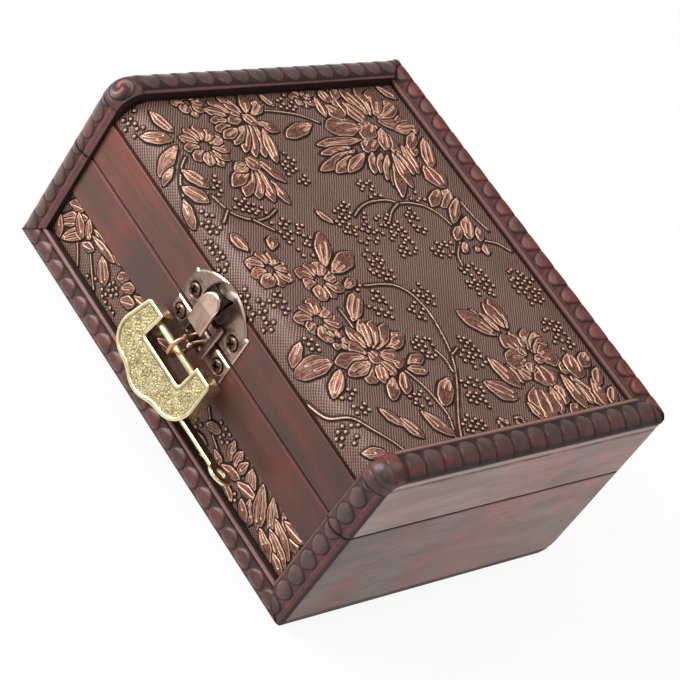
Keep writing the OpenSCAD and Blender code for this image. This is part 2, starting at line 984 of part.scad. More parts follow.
module padlock_shackle() {
    plate_x = -end_x - run_clear;
    plate_t = rim_w;
    plate_w = lock_t - 2 * lock_wall - 2 * run_clear;
    color(brass)
        hang_padlock() {
            translate([0, bar_depth, bar_rise])
                rod_x(plate_x - plate_t / 2, end_x + ear_in + end_depth, bar_d);
            box3([plate_x - plate_t, lock_wall + run_clear, tunnel_z - key_t / 2],
                 [plate_x, lock_wall + run_clear + plate_w, window_h - rim_w - run_clear]);
            box3([plate_x - plate_t / 2, lock_t / 2 - stem_w / 2, tunnel_z - key_t / 2],
                 [stem_tip_x, lock_t / 2 + stem_w / 2, tunnel_z + key_t / 2]);
        }
}

// Two leaf springs that lie along the stem, pressed flat by the key
module shackle_springs() {
    leaf_t = stem_w / 4;
    color(steel)
        hang_padlock()
            for (flip = [0, 1])
                translate([0, lock_t / 2, tunnel_z])
                    mirror([0, flip, 0])
                        box3([-ear_in, stem_w / 2, -key_t / 2],
                             [stem_tip_x, stem_w / 2 + leaf_t, key_t / 2]);
}

module padlock_key() {
    head_x = key_tip_x + key_l - key_head_d / 2;
    color(brass)
        hang_padlock()
            translate([0, lock_t / 2, tunnel_z - key_t / 2])
                linear_extrude(height = key_t)
                    difference() {
                        union() {
                            box2([key_tip_x, -key_w / 2], [head_x, key_w / 2]);
                            translate([head_x, 0])
                                circle(d = key_head_d);
                        }
                        translate([head_x, 0])
                            circle(d = key_hole_d);
                    }
}

floor_panel();
base_front_board();
base_back_board();
base_side(-1);  // base_left_side
base_side(1);  // base_right_side
base_front_rail();
front_leather_panel();
front_bottom_moulding();
base_moulding(-1);  // base_left_moulding
base_moulding(1);  // base_right_moulding
floor_lining();
base_wall_lining();
base_hinge_leaves();
hinge_pins();
base_hinge_screws();
lower_hasp_plate();
staple_pin();
lower_hasp_screws();
lid_top_panel();
lid_front_board();
lid_back_board();
lid_side(-1);  // lid_left_side
lid_side(1);  // lid_right_side
lid_front_rail();
top_leather_cover();
lid_moulding(-1);  // lid_left_moulding
lid_moulding(1);  // lid_right_moulding
corner_moulding(-1);  // left_corner_moulding
corner_moulding(1);  // right_corner_moulding
top_moulding(-1);  // left_top_moulding
top_moulding(1);  // right_top_moulding
back_top_moulding();
lid_lining();
lid_hinge_leaves();
lid_hinge_screws();
upper_hasp_plate();
tongue_pin();
upper_hasp_screws();
hasp_tongue();
lock_ring();
padlock_body();
padlock_shackle();
shackle_springs();
padlock_key();
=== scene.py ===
import math

import bpy
import numpy as np
from mathutils import Matrix, Vector


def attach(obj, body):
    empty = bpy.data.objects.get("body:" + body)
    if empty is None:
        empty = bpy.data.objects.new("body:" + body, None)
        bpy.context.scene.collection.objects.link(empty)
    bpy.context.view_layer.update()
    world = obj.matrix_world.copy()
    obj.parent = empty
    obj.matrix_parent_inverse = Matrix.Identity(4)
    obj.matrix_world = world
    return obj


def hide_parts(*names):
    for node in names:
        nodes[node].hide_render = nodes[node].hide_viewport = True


# Wooden jewelry box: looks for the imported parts, in millimetres until a mesh is made
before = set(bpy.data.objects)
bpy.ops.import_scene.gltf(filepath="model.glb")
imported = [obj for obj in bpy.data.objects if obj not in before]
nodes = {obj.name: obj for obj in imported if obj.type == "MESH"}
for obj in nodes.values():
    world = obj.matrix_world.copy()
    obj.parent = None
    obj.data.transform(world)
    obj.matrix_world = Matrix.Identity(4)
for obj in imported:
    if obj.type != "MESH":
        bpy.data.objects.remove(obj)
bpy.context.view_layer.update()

mm = 0.001
box = {
    "side": 70.0, "back": 55.5, "seatY": -51.5, "railY": -53.0,
    "fieldX": 61.8, "fieldBackY": 49.1, "innerX": 64.0, "innerFrontY": -46.0, "innerBackY": 49.5,
    "baseTop": 37.0, "lidZ": 37.3, "topSeat": 58.5, "bendY": -48.0, "bendZ": 55.0,
    "railLow": 23.8, "railTop": 50.0, "bottomTop": 8.8,
}


# Camera of the photograph, found from twenty corners and edges of the box
camera = {
    "place": (0.2711, -0.4733, 0.4276), "lens": 128.58, "sensor": 36.0,
    "azimuth": 29.43, "elevation": 36.35, "roll": 36.68, "clip": (0.02, 20.0),
}
lights = {
    "world": 0.5, "mirrored": 0.42,
    "softboxPower": 18.0, "softboxSize": (0.72, 1.15), "softboxPlace": (-0.70, -0.72, 0.60),
    "topPower": 5.0, "topSize": (1.0, 1.0), "topPlace": (0.1, 0.2, 1.3), "target": (0, 0, 0.03),
    "floorColour": (0.86, 0.86, 0.86), "floorReach": 3.0,
}


# Bell curve: one at zero, falling off over the given width
def bell(x, width):
    return np.exp(-(x / width) ** 2)


# Values held between zero and one
def clamped(x):
    return np.clip(x, 0, 1)


# Camera axes: looks along azimuth and elevation, then rolls about its own view line
def makeCamera():
    data = bpy.data.cameras.new("photoCamera")
    data.lens, data.sensor_width = camera["lens"], camera["sensor"]
    data.clip_start, data.clip_end = camera["clip"]
    eye = bpy.data.objects.new("photoCamera", data)
    bpy.context.scene.collection.objects.link(eye)
    a, e = math.radians(camera["azimuth"]), math.radians(camera["elevation"])
    back = Vector((math.sin(a) * math.cos(e), -math.cos(a) * math.cos(e), math.sin(e)))
    turn = (-back).to_track_quat("-Z", "Y").to_matrix().to_4x4()
    roll = Matrix.Rotation(math.radians(camera["roll"]), 4, "Z")
    eye.matrix_world = Matrix.Translation(camera["place"]) @ turn @ roll
    bpy.context.scene.camera = eye


# Lamp with its own place, power and size that shines towards the middle of the box
def areaLight(name, key):
    place = lights[key + "Place"]
    data = bpy.data.lights.new(name, "AREA")
    data.shape = "RECTANGLE"
    data.size, data.size_y = lights[key + "Size"]
    data.energy = lights[key + "Power"]
    lamp = bpy.data.objects.new(name, data)
    bpy.context.scene.collection.objects.link(lamp)
    lamp.location = place
    lamp.rotation_mode = "QUATERNION"
    lamp.rotation_quaternion = (Vector(lights["target"]) - Vector(place)).to_track_quat("-Z", "Y")


# Gives a socket a link, a number, or a colour whose alpha is added
def feed(tree, socket, value):
    if isinstance(value, bpy.types.NodeSocket):
        tree.links.new(value, socket)
    else:
        socket.default_value = (*value[:3], 1.0) if socket.type == "RGBA" else value


# Adds a node, with its settings and what its sockets get
def add(tree, kind, links=None, **settings):
    node = tree.nodes.new(kind)
    for key, value in settings.items():
        setattr(node, key, value)
    for key, value in (links or {}).items():
        feed(tree, node.inputs[key], value)
    return node


# One Math node, of two values or sockets
def maths(tree, operation, a, b=0.0):
    return add(tree, "ShaderNodeMath", {0: a, 1: b}, operation=operation).outputs[0]


def times(tree, a, b):
    return maths(tree, "MULTIPLY", a, b)


def plus(tree, a, b):
    return maths(tree, "ADD", a, b)


def minus(tree, a, b):
    return maths(tree, "SUBTRACT", a, b)


# Two values, each times its own share, added up
def weighted(tree, a, shareA, b, shareB):
    return plus(tree, times(tree, a, shareA), times(tree, b, shareB))


# Smooth step of a value from low to high
def span(tree, value, low, high, outLow=0.0, outHigh=1.0):
    return add(tree, "ShaderNodeMapRange",
               {"Value": value, "From Min": low, "From Max": high,
                "To Min": outLow, "To Max": outHigh},
               interpolation_type="SMOOTHSTEP").outputs["Result"]


# From colour a to colour b by the factor
def blendColour(tree, factor, a, b):
    return add(tree, "ShaderNodeMix", {0: factor, 6: a, 7: b}, data_type="RGBA",
               clamp_result=True).outputs[2]


# Lays a second colour over the first as a value passes its limits
def tint(tree, colour, other, value, *limits):
    return blendColour(tree, span(tree, value, *limits), colour, other)


# Noise over a place that is stretched and turned first
def noise(tree, vector, scale, detail=3.0, rough=0.5, stretch=(1, 1, 1), turn=(0, 0, 0)):
    place = add(tree, "ShaderNodeMapping", {"Vector": vector, "Scale": stretch, "Rotation": turn})
    return add(tree, "ShaderNodeTexNoise",
               {"Vector": place.outputs[0], "Scale": scale, "Detail": detail,
                "Roughness": rough}).outputs["Fac"]


# Value of a mesh attribute
def mask(tree, name, output="Fac"):
    return add(tree, "ShaderNodeAttribute", attribute_name=name).outputs[output]


# Makes a group with a vector, colours and numbers; build fills it in and gives its results
def shaderGroup(name, colours, numbers, build):
    tree = bpy.data.node_groups.new(name, "ShaderNodeTree")
    kinds = {"Vector": ["Vector"], "Color": colours, "Float": numbers}
    for kind, keys in kinds.items():
        for key in keys:
            tree.interface.new_socket(name=key, in_out="INPUT", socket_type="NodeSocket" + kind)
    source = tree.nodes.new("NodeGroupInput")
    sink = tree.nodes.new("NodeGroupOutput")
    for key, value in build(tree, source.outputs).items():
        kind = "Color" if key == "Color" else "Float"
        tree.interface.new_socket(name=key, in_out="OUTPUT", socket_type="NodeSocket" + kind)
        tree.links.new(value, sink.inputs[key])
    return tree


# Starts a material: returns its tree, the shader and the object coordinates
def newMaterial(name, **constants):
    material = bpy.data.materials.new(name)
    material.use_nodes = True
    tree = material.node_tree
    shader = tree.nodes["Principled BSDF"]
    for key, value in constants.items():
        feed(tree, shader.inputs[key.replace("_", " ")], value)
    coords = tree.nodes.new("ShaderNodeTexCoord").outputs["Object"]
    return material, tree, shader, coords


# Ends a material: colour, roughness and bump, and what else the shader gets
def finishMaterial(tree, shader, colour, rough, height, strength, distance, **others):
    links = {"Base Color": colour, "Roughness": rough, **others}
    for key, value in links.items():
        feed(tree, shader.inputs[key.replace("_", " ")], value)
    bump = add(tree, "ShaderNodeBump", {"Height": height, "Strength": strength,
                                        "Distance": distance})
    tree.links.new(bump.outputs[0], shader.inputs["Normal"])


# Wood grain: long streaks of three tones, with blotches and fine pores
def buildGrain(tree, given):
    v = given["Vector"]
    broad = noise(tree, v, 38.0, 3.0, 0.55, (0.16, 0.16, 1.0))
    streak = noise(tree, v, 150.0, 4.0, 0.65, (0.09, 0.09, 1.0))
    blotch = noise(tree, v, 26.0, 2.0, 0.5)
    pores = noise(tree, v, 700.0, 2.0, 0.5, (0.07, 0.07, 1.0))
    fibre = noise(tree, v, 1900.0, 3.0, 0.6, (0.025, 0.025, 1.0))
    tone = weighted(tree, broad, 0.5, streak, 0.5)
    colour = tint(tree, given["Dark"], given["Middle"], tone, 0.36, 0.64)
    reds = weighted(tree, blotch, 0.7, streak, 0.3)
    reds = times(tree, span(tree, reds, 0.46, 0.62), given["Redness"])
    colour = blendColour(tree, reds, colour, given["Red"])
    colour = tint(tree, colour, given["Dark"], pores, 0.55, 0.68, 0.0, 0.5)
    colour = tint(tree, colour, given["Dark"], fibre, 0.46, 0.62, 0.0, 0.45)
    rubbed = plus(tree, given["Edge"], times(tree, streak, 0.9))
    worn = times(tree, span(tree, rubbed, 0.75, 1.25), given["Wear"])
    colour = blendColour(tree, worn, colour, given["Worn"])
    height = minus(tree, streak, times(tree, pores, 0.4))
    height = plus(tree, height, times(tree, fibre, 0.15))
    rough = plus(tree, given["Roughness"], times(tree, blotch, 0.16))
    return {"Color": colour, "Height": height, "Roughness": rough}


# Aged metal: dark patina in blotches, bright rubbed edges, fine scratches
def buildMetal(tree, given):
    v = given["Vector"]
    patch = noise(tree, v, 260.0, 4.0, 0.6)
    speck = noise(tree, v, 1500.0, 3.0, 0.6)
    lines = noise(tree, v, 900.0, 2.0, 0.5, (1.0, 0.08, 0.3), (0.3, 0.2, 0.5))
    dull = times(tree, span(tree, patch, 0.42, 0.66), given["Patina"])
    colour = blendColour(tree, dull, given["Metal"], given["Dark"])
    colour = tint(tree, colour, given["Dark"], speck, 0.58, 0.8, 0.0, 0.5)
    rubbed = plus(tree, given["Edge"], times(tree, patch, 0.4))
    shine = span(tree, rubbed, 0.42, 0.82)
    colour = blendColour(tree, shine, colour, given["Bright"])
    rough = minus(tree, times(tree, dull, 0.22), times(tree, shine, 0.08))
    rough = plus(tree, given["Roughness"], rough)
    height = weighted(tree, speck, 0.6, lines, 0.4)
    return {"Color": colour, "Roughness": rough, "Height": height}


grainGroup = shaderGroup("streakedGrain", ["Dark", "Middle", "Red", "Worn"],
                         ["Redness", "Edge", "Wear", "Roughness"], buildGrain)
metalGroup = shaderGroup("agedMetal", ["Metal", "Dark", "Bright"],
                         ["Edge", "Patina", "Roughness"], buildMetal)


# Stained wood: glow colours the line at a board's edge, loose makes the pattern finer, and the
# drift pair is painted light and shade: how light the wood is at both ends of its length
def woodMaterial(name, dark, middle, red, worn, redness, wear, roughness, coat, along="x",
                 glow=None, shine=0.42, loose=1.0, shadeAndToneDrift=None):
    material, tree, shader, coords = newMaterial(
        name, Coat_Roughness=0.22, Coat_IOR=1.5, Specular_IOR_Level=shine)
    place = add(tree, "ShaderNodeMapping", {"Vector": coords, "Scale": (loose, loose, 1.0)})
    grain = add(tree, "ShaderNodeGroup", {
        "Vector": place.outputs[0], "Dark": dark, "Middle": middle, "Red": red, "Worn": worn,
        "Redness": redness, "Edge": mask(tree, "edge"), "Wear": wear, "Roughness": roughness,
    }, node_tree=grainGroup).outputs
    colour = grain["Color"]
    if glow:
        colour = blendColour(tree, mask(tree, "line"), colour, glow)
    if shadeAndToneDrift:
        # painted light and shade: the colour is scaled from one end of the board to the other
        parts = add(tree, "ShaderNodeSeparateXYZ", {"Vector": coords}).outputs
        share = span(tree, parts["xy".index(along)], -0.06, 0.06, *shadeAndToneDrift)
        colour = add(tree, "ShaderNodeVectorMath", {"Vector": colour, "Scale": share},
                     operation="SCALE").outputs["Vector"]
    seam = maths(tree, "MAXIMUM", span(tree, mask(tree, "edge"), 0.55, 0.9, 0.0, 0.85),
                 mask(tree, "dark"))
    colour = blendColour(tree, seam, colour, (0.018, 0.007, 0.006))
    finishMaterial(tree, shader, colour, grain["Roughness"], grain["Height"], 0.25, 0.0003,
                   Coat_Weight=coat)
    return material


# Carved, dark lacquer: grey-brown discs on red-brown ground, deep red flanks, black cuts that carry
# painted shade, and pale painted highlights
def carvedMaterial(name, gloss, shine):
    material, tree, shader, coords = newMaterial(
        name, Coat_Roughness=0.14, Specular_IOR_Level=shine)
    cutsAndShade, reds, band = mask(tree, "cut"), mask(tree, "red"), mask(tree, "band")
    disc, pale = mask(tree, "disc"), mask(tree, "pale")
    blotch = noise(tree, coords, 190.0, 4.0, 0.6)
    fine = noise(tree, coords, 900.0, 3.0, 0.55)
    ground = tint(tree, (0.058, 0.024, 0.019), (0.115, 0.036, 0.029), blotch, 0.4, 0.62)
    top = tint(tree, (0.055, 0.033, 0.027), (0.092, 0.046, 0.037), blotch, 0.4, 0.62)
    colour = blendColour(tree, disc, ground, top)
    colour = blendColour(tree, times(tree, band, 0.6), colour, (0.12, 0.045, 0.037))
    # painted highlight: a pale colour on the beads, inside the disc rims and on the swirl's crests
    colour = blendColour(tree, pale, colour, (0.28, 0.14, 0.115))
    glint = times(tree, reds, span(tree, fine, 0.36, 0.58, 0.35, 1.0))
    colour = blendColour(tree, glint, colour, (0.24, 0.022, 0.018))
    colour = tint(tree, colour, (0.19, 0.11, 0.095), fine, 0.56, 0.8, 0.0, 0.35)
    # painted shade: black in the grooves, notches, foot and walls; at the ends of each piece it is the
    # dark joint
    colour = blendColour(tree, cutsAndShade, colour, (0.012, 0.006, 0.005))
    rough = plus(tree, 0.24, times(tree, fine, 0.2))
    rough = plus(tree, rough, times(tree, cutsAndShade, 0.35))
    coat = span(tree, cutsAndShade, 0.0, 0.6, gloss, 0.0)
    finishMaterial(tree, shader, colour, rough, plus(tree, fine, blotch), 0.22, 0.0003,
                   Coat_Weight=coat)
    return material


# Embossed leather: streaked copper motifs with dark outlines over fine slanting ribs; the outlines are
# painted shade in the grooves, and the rims get a painted highlight
ribs = {"main": (0.80, 1.12), "cross": (0.95, -0.80)}      # turns per mm along x and s


def leatherMaterial():
    material, tree, shader, coords = newMaterial(
        "embossedLeather", Coat_Roughness=0.24, Specular_IOR_Level=0.35,
        Specular_Tint=(1.0, 0.86, 0.76))
    edge = mask(tree, "edge")          # signed distance to the nearest drawn edge, mm
    sheet, flow = mask(tree, "sheet", "Vector"), mask(tree, "flow", "Vector")
    split = add(tree, "ShaderNodeSeparateXYZ", {0: sheet})

    # Wave across the sheet: turns per mm along x and along the sheet's length
    def wave(kx, ks, waver=0.0):
        phase = weighted(tree, split.outputs[0], kx, split.outputs[1], ks)
        phase = plus(tree, phase, times(tree, warp, waver))
        return maths(tree, "SINE", times(tree, phase, 2 * math.pi))

    warp = noise(tree, sheet, 0.35, 2.0, 0.5)
    weave = plus(tree, times(tree, wave(*ribs["main"], 0.8), 0.36),
                 times(tree, wave(*ribs["cross"]), 0.14))
    weave = plus(tree, weave, 0.5)
    blotch = noise(tree, coords, 45.0, 3.0, 0.55)
    fine = noise(tree, coords, 1300.0, 3.0, 0.6)
    crumple = noise(tree, coords, 420.0, 3.0, 0.6)
    streak = noise(tree, flow, 1.0, 3.0, 0.6, (0.35, 2.2, 1.0))
    ground = tint(tree, (0.016, 0.010, 0.008), (0.305, 0.168, 0.130), weave, 0.12, 0.88)
    ground = tint(tree, ground, (0.085, 0.045, 0.034), blotch, 0.42, 0.7, 0.0, 0.4)
    motif = tint(tree, (0.060, 0.022, 0.015), (0.27, 0.108, 0.070), streak, 0.36, 0.62)
    motif = tint(tree, motif, (0.085, 0.032, 0.022), crumple, 0.46, 0.62, 0.0, 0.7)
    motif = tint(tree, motif, (0.46, 0.24, 0.17), fine, 0.54, 0.7, 0.0, 0.6)
    # painted highlight: a bright band along the inside of each motif's rim
    rim = times(tree, span(tree, edge, -0.62, -0.42), span(tree, edge, -0.2, -0.32))
    rim = times(tree, rim, span(tree, crumple, 0.32, 0.5, 0.5, 1.0))
    motif = blendColour(tree, rim, motif, (0.80, 0.46, 0.33))
    # painted shade: a near-black outline in the groove round each motif and each berry
    line = times(tree, span(tree, edge, -0.38, -0.18), span(tree, edge, 0.66, 0.3))
    colour = tint(tree, ground, motif, edge, 0.02, -0.12)
    colour = blendColour(tree, times(tree, line, 0.94), colour, (0.008, 0.005, 0.004))
    rough = plus(tree, 0.32, times(tree, fine, 0.2))
    coat = minus(tree, 0.2, times(tree, line, 0.2))
    copperish = plus(tree, times(tree, span(tree, weave, 0.4, 0.8), 0.25),
                     span(tree, edge, 0.02, -0.12, 0.0, 0.3))
    inMotif = span(tree, edge, 0.3, -0.05)
    pillow = plus(tree, times(tree, streak, 1.3), span(tree, edge, 0.05, -0.75, 0.0, 1.3))
    relief = add(tree, "ShaderNodeMix", {0: inMotif, 2: weave, 3: pillow},
                 data_type="FLOAT").outputs[0]
    finishMaterial(tree, shader, colour, rough, plus(tree, relief, times(tree, crumple, 0.5)),
                   0.6, 0.0004, Coat_Weight=coat, Metallic=copperish)
    return material


# Aged metal on a slab: the edge attribute carries the rubbed rims
def metalMaterial(name, metal, dark, bright, patina, roughness, bump=0.2, tooled=False):
    material, tree, shader, coords = newMaterial(name, Metallic=1.0)
    aged = add(tree, "ShaderNodeGroup", {
        "Vector": coords, "Metal": metal, "Dark": dark, "Bright": bright,
        "Edge": mask(tree, "edge"), "Patina": patina, "Roughness": roughness,
    }, node_tree=metalGroup).outputs
    # painted shade: this mask darkens the thumb's facet below the fold and the lines of the padlock's
    # tooling
    colour = blendColour(tree, times(tree, mask(tree, "worn"), 0.45), aged["Color"], dark)
    # painted shade: the dark mask darkens the screw dips and crosses, the dome, the frame, the
    # knuckle, the ring's back half and the padlock's window wall and field line
    colour = blendColour(tree, mask(tree, "dark"), colour, tuple(0.25 * c for c in dark))
    height = aged["Height"]
    if tooled:                         # net of fine cut lines, bent by noise
        bent = add(tree, "ShaderNodeTexNoise", {"Vector": coords, "Scale": 620.0, "Detail": 1.0})
        away = add(tree, "ShaderNodeVectorMath", {0: bent.outputs["Color"], "Scale": 0.0011},
                   operation="SCALE").outputs[0]
        place = add(tree, "ShaderNodeVectorMath", {0: coords, 1: away}).outputs[0]
        cells = add(tree, "ShaderNodeTexVoronoi", {"Vector": place, "Scale": 1080.0},
                    feature="DISTANCE_TO_EDGE").outputs["Distance"]
        cut = times(tree, span(tree, cells, 0.03, 0.13, 0.8, 0.0), mask(tree, "field"))
        colour = blendColour(tree, cut, colour, dark)
        height = minus(tree, height, times(tree, cut, 0.8))
    finishMaterial(tree, shader, colour, aged["Roughness"], height, bump, 0.00015)
    return material


# Short velvet pile: fine flecks, soft dark and light drifts
def velvetMaterial():
    material, tree, shader, coords = newMaterial(
        "winePile", Sheen_Weight=0.6, Sheen_Roughness=0.4, Specular_IOR_Level=0.1)
    shadeAndToneDrift = noise(tree, coords, 60.0, 3.0, 0.5)
    fleck = noise(tree, coords, 2600.0, 2.0, 0.6)
    colour = tint(tree, (0.14, 0.013, 0.022), (0.185, 0.018, 0.030), shadeAndToneDrift, 0.35, 0.65)
    colour = tint(tree, colour, (0.08, 0.007, 0.012), fleck, 0.5, 0.75, 0.0, 0.5)
    finishMaterial(tree, shader, colour, 0.9, fleck, 0.5, 0.0004)
    return material


# Pale floor that the camera sees almost white, with the shadow kept
def stageMaterial():
    material = bpy.data.materials.new("paleFloor")
    material.use_nodes = True
    tree = material.node_tree
    tree.nodes.clear()
    path = tree.nodes.new("ShaderNodeLightPath").outputs
    seen = maths(tree, "MAXIMUM", path["Is Camera Ray"], times(tree, path["Is Glossy Ray"], 0.6))
    plain = add(tree, "ShaderNodeBsdfDiffuse", {"Color": lights["floorColour"]})
    white = add(tree, "ShaderNodeEmission", {"Color": (1, 1, 1, 1), "Strength": 1.0})
    mixed = add(tree, "ShaderNodeMixShader", {0: times(tree, seen, 0.9),
                                              1: plain.outputs[0], 2: white.outputs[0]})
    out = tree.nodes.new("ShaderNodeOutputMaterial")
    tree.links.new(mixed.outputs[0], out.inputs["Surface"])
    return material


# World: plain light, white where the camera sees it and dimmer in reflections
def makeWorld():
    world = bpy.data.worlds.new("studio")
    bpy.context.scene.world = world
    world.use_nodes = True
    tree = world.node_tree
    tree.nodes.clear()
    path = tree.nodes.new("ShaderNodeLightPath").outputs
    level = plus(tree, lights["world"], times(tree, path["Is Camera Ray"], 1.0 - lights["world"]))
    level = plus(tree, level, times(tree, path["Is Glossy Ray"], lights["mirrored"] - lights["world"]))
    glow = add(tree, "ShaderNodeBackground", {"Color": (1, 1, 1, 1), "Strength": level})
    out = tree.nodes.new("ShaderNodeOutputWorld")
    tree.links.new(glow.outputs[0], out.inputs["Surface"])


# Six times the volume's sign tells which way a closed shell faces
def shellVolume(points, faces):
    total = 0.0
    for group in faces:
        a = points[group[:, 0]]
        for k in range(1, group.shape[1] - 1):
            turn = np.cross(points[group[:, k]], points[group[:, k + 1]])
            total += float(np.einsum("ij,ij->", a, turn))
    return total


# Puts shells (points, face groups, masks) together, each turned to face outwards
def joinShells(shells):
    names = sorted({k for s in shells for k in s[2]})
    points, faces, masks, start = [], [], {n: [] for n in names}, 0
    for p, groups, m in shells:
        p = np.asarray(p, float)
        groups = [np.asarray(g, int) for g in groups]
        if shellVolume(p - p.mean(0), groups) < 0:
            groups = [g[:, ::-1] for g in groups]
        points.append(p)
        faces += [g + start for g in groups]
        for n in names:
            masks[n].append(np.broadcast_to(np.asarray(m.get(n, 0.0), float), (len(p),)))
        start += len(p)
    return np.concatenate(points), faces, {n: np.concatenate(masks[n]) for n in names}


# One finished piece: mesh in metres at the origin, its material, body and CAD nodes
def addPiece(name, shells, material, body, replaced, sharp=35.0, vectors=None):
    points, faces, masks = joinShells(shells if isinstance(shells, list) else [shells])
    mesh = bpy.data.meshes.new(name)
    mesh.from_pydata((points * mm).tolist(), [], [f for g in faces for f in g.tolist()])
    for key, values in masks.items():
        attribute = mesh.attributes.new(key, "FLOAT", "POINT")
        attribute.data.foreach_set("value", values.astype(np.float32))
    for key, values in (vectors or {}).items():
        attribute = mesh.attributes.new(key, "FLOAT_VECTOR", "POINT")
        attribute.data.foreach_set("vector", values.astype(np.float32).ravel())
    mesh.shade_smooth()
    mesh.set_sharp_from_angle(angle=math.radians(sharp))
    mesh.materials.append(material)
    piece = bpy.data.objects.new(name, mesh)
    bpy.context.scene.collection.objects.link(piece)
    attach(piece, body)
    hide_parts(*replaced)
    return piece


# Positions from a to b: quarter-circle steps of radius r at both ends, even steps between
def spaced(a, b, step, r=0.0):
    if r <= 0:
        return np.linspace(a, b, max(2, int(round((b - a) / step)) + 1))
    ends = r * (1 - np.cos(np.linspace(0, math.pi / 2, 5)))
    middle = np.linspace(a + r, b - r, max(2, int(round((b - a - 2 * r) / step)) + 1))
    return np.concatenate([a + ends[:-1], middle, b - ends[:-1][::-1]])


# Rows of positions put together in order, each place once
def merged(*rows):
    return np.unique(np.concatenate(rows))


# Drop of a rounded edge: zero deeper than r inside, r on the outline itself
def roundOff(d, r):
    return r - np.sqrt(np.maximum(r * r - np.clip(r + d, 0, r) ** 2, 0))


# Signed distance to a rectangle with corners of radius r, negative inside
def boxAt(x, z, x0, x1, z0, z1, r=0.0):
    qx = np.abs(x - (x0 + x1) / 2) - (x1 - x0) / 2 + r
    qz = np.abs(z - (z0 + z1) / 2) - (z1 - z0) / 2 + r
    return np.hypot(np.maximum(qx, 0), np.maximum(qz, 0)) + np.minimum(np.maximum(qx, qz), 0) - r


# Slab over a grid of x and z, cut along an outline (signed distance, negative inside).
# Crossed squares keep the part inside, front and back are depths or rules that give them, a
# wall joins them, and the edge mask falls off from the outline as a power of e
def slab(outline, xs, zs, front, back, place, masks=None, rimBand=None):
    X, Z = np.meshgrid(xs, zs, indexing="ij")
    D = outline(X, Z)
    inside = D <= 1e-9
    corner = np.full(X.shape, -1)
    corner[inside] = np.arange(inside.sum())
    flat = [np.stack([X[inside], Z[inside]], 1)]
    count = int(inside.sum())
    crossed = []
    for lo, hi in ((np.s_[:-1, :], np.s_[1:, :]), (np.s_[:, :-1], np.s_[:, 1:])):
        cut = inside[lo] != inside[hi]
        t = np.clip(D[lo][cut] / (D[lo][cut] - D[hi][cut]), 0.04, 0.96)
        flat.append(np.stack([X[lo][cut] + t * (X[hi][cut] - X[lo][cut]),
                              Z[lo][cut] + t * (Z[hi][cut] - Z[lo][cut])], 1))
        index = np.full(cut.shape, -1)
        index[cut] = count + np.arange(cut.sum())
        count += int(cut.sum())
        crossed.append(index)
    flat = np.concatenate(flat)
    c = [corner[:-1, :-1], corner[1:, :-1], corner[1:, 1:], corner[:-1, 1:]]
    e = [crossed[0][:, :-1], crossed[1][1:, :], crossed[0][:, 1:], crossed[1][:-1, :]]
    code = sum((c[k] >= 0).astype(int) << k for k in range(4))
    faces = []
    for case in range(1, 16):
        here = code == case
        columns = []
        for k in range(4):
            mine, following = case >> k & 1, case >> (k + 1) % 4 & 1
            if mine:
                columns.append(c[k][here])
            if mine != following:
                columns.append(e[k][here])
        if here.any():
            faces.append(np.stack(columns, 1))
    x, z = flat[:, 0], flat[:, 1]
    d = np.minimum(outline(x, z), 0.0)
    n = len(flat)
    depths = [rule(x, z, d) if callable(rule) else rule for rule in (front, back)]
    face, rear = (np.stack([x, np.broadcast_to(y, x.shape), z], 1) for y in depths)
    tails = np.concatenate([g.T.ravel() for g in faces])
    heads = np.concatenate([np.roll(g, -1, 1).T.ravel() for g in faces])
    rim = ~np.isin(tails * n + heads, heads * n + tails)
    a, b = tails[rim], heads[rim]
    walls = np.stack([b, a, a + n, b + n], 1)
    points, clean = np.concatenate([face, rear]), 0
    if rimBand:                        # two more rings keep the edge wear off a thick wall
        ids = np.unique(a)
        ring = len(ids)
        lookup = np.zeros(n, int)
        lookup[ids] = np.arange(ring)
        p, q, clean = lookup[a] + 2 * n, lookup[b] + 2 * n, 2 * ring
        points = np.concatenate([points, face[ids] + (0, rimBand, 0), rear[ids] - (0, rimBand, 0)])
        levels = [(b, a), (q, p), (q + ring, p + ring), (b + n, a + n)]
        walls = np.concatenate([np.stack([*upper, *lower[::-1]], 1)
                                for upper, lower in zip(levels, levels[1:])])
    values = {"edge": np.concatenate([np.tile(np.exp(d / 0.3), 2), np.zeros(clean)])}
    for key, rule in (masks or {}).items():
        values[key] = np.concatenate([rule(x, z, d), np.zeros(n + clean)])
    return place(points), faces + [g[:, ::-1] + n for g in faces] + [walls], values


# Carries closed rings along a path: rings is (count, points, 3); open ends get a flat cap
def loft(rings, closed=False, masks=None):
    n, m = rings.shape[:2]
    i = np.arange(n if closed else n - 1)[:, None]
    j = np.arange(m)[None, :]
    following, up = (j + 1) % m, ((i + 1) % n) * m
    faces = [np.stack([i * m + j, i * m + following, up + following, up + j], -1).reshape(-1, 4)]
    if not closed:
        faces += [np.arange(m)[None, ::-1], ((n - 1) * m + np.arange(m))[None, :]]
    return rings.reshape(-1, 3), faces, {k: v.ravel() for k, v in (masks or {}).items()}


# Round bar along x from a to b with softly rounded ends, of radius r about a centre
def rod(a, b, centre, r, soft, sides=28):
    turn = np.linspace(0, math.pi / 2, 4)
    inset, radii = soft * (1 - np.sin(turn)), r - soft * (1 - np.cos(turn))
    stations = np.concatenate([a + inset[::-1], b - inset])[:, None]
    radii = np.concatenate([radii[::-1], radii])[:, None]
    angle = np.linspace(0, 2 * math.pi, sides, endpoint=False)
    rings = np.stack([stations + 0 * angle, centre[1] + radii * np.cos(angle),
                      centre[2] + radii * np.sin(angle)], -1)
    edge = np.zeros(rings.shape[:2])
    edge[[0, 1, 2, -3, -2, -1]] = 0.8
    return loft(rings, masks={"edge": edge})


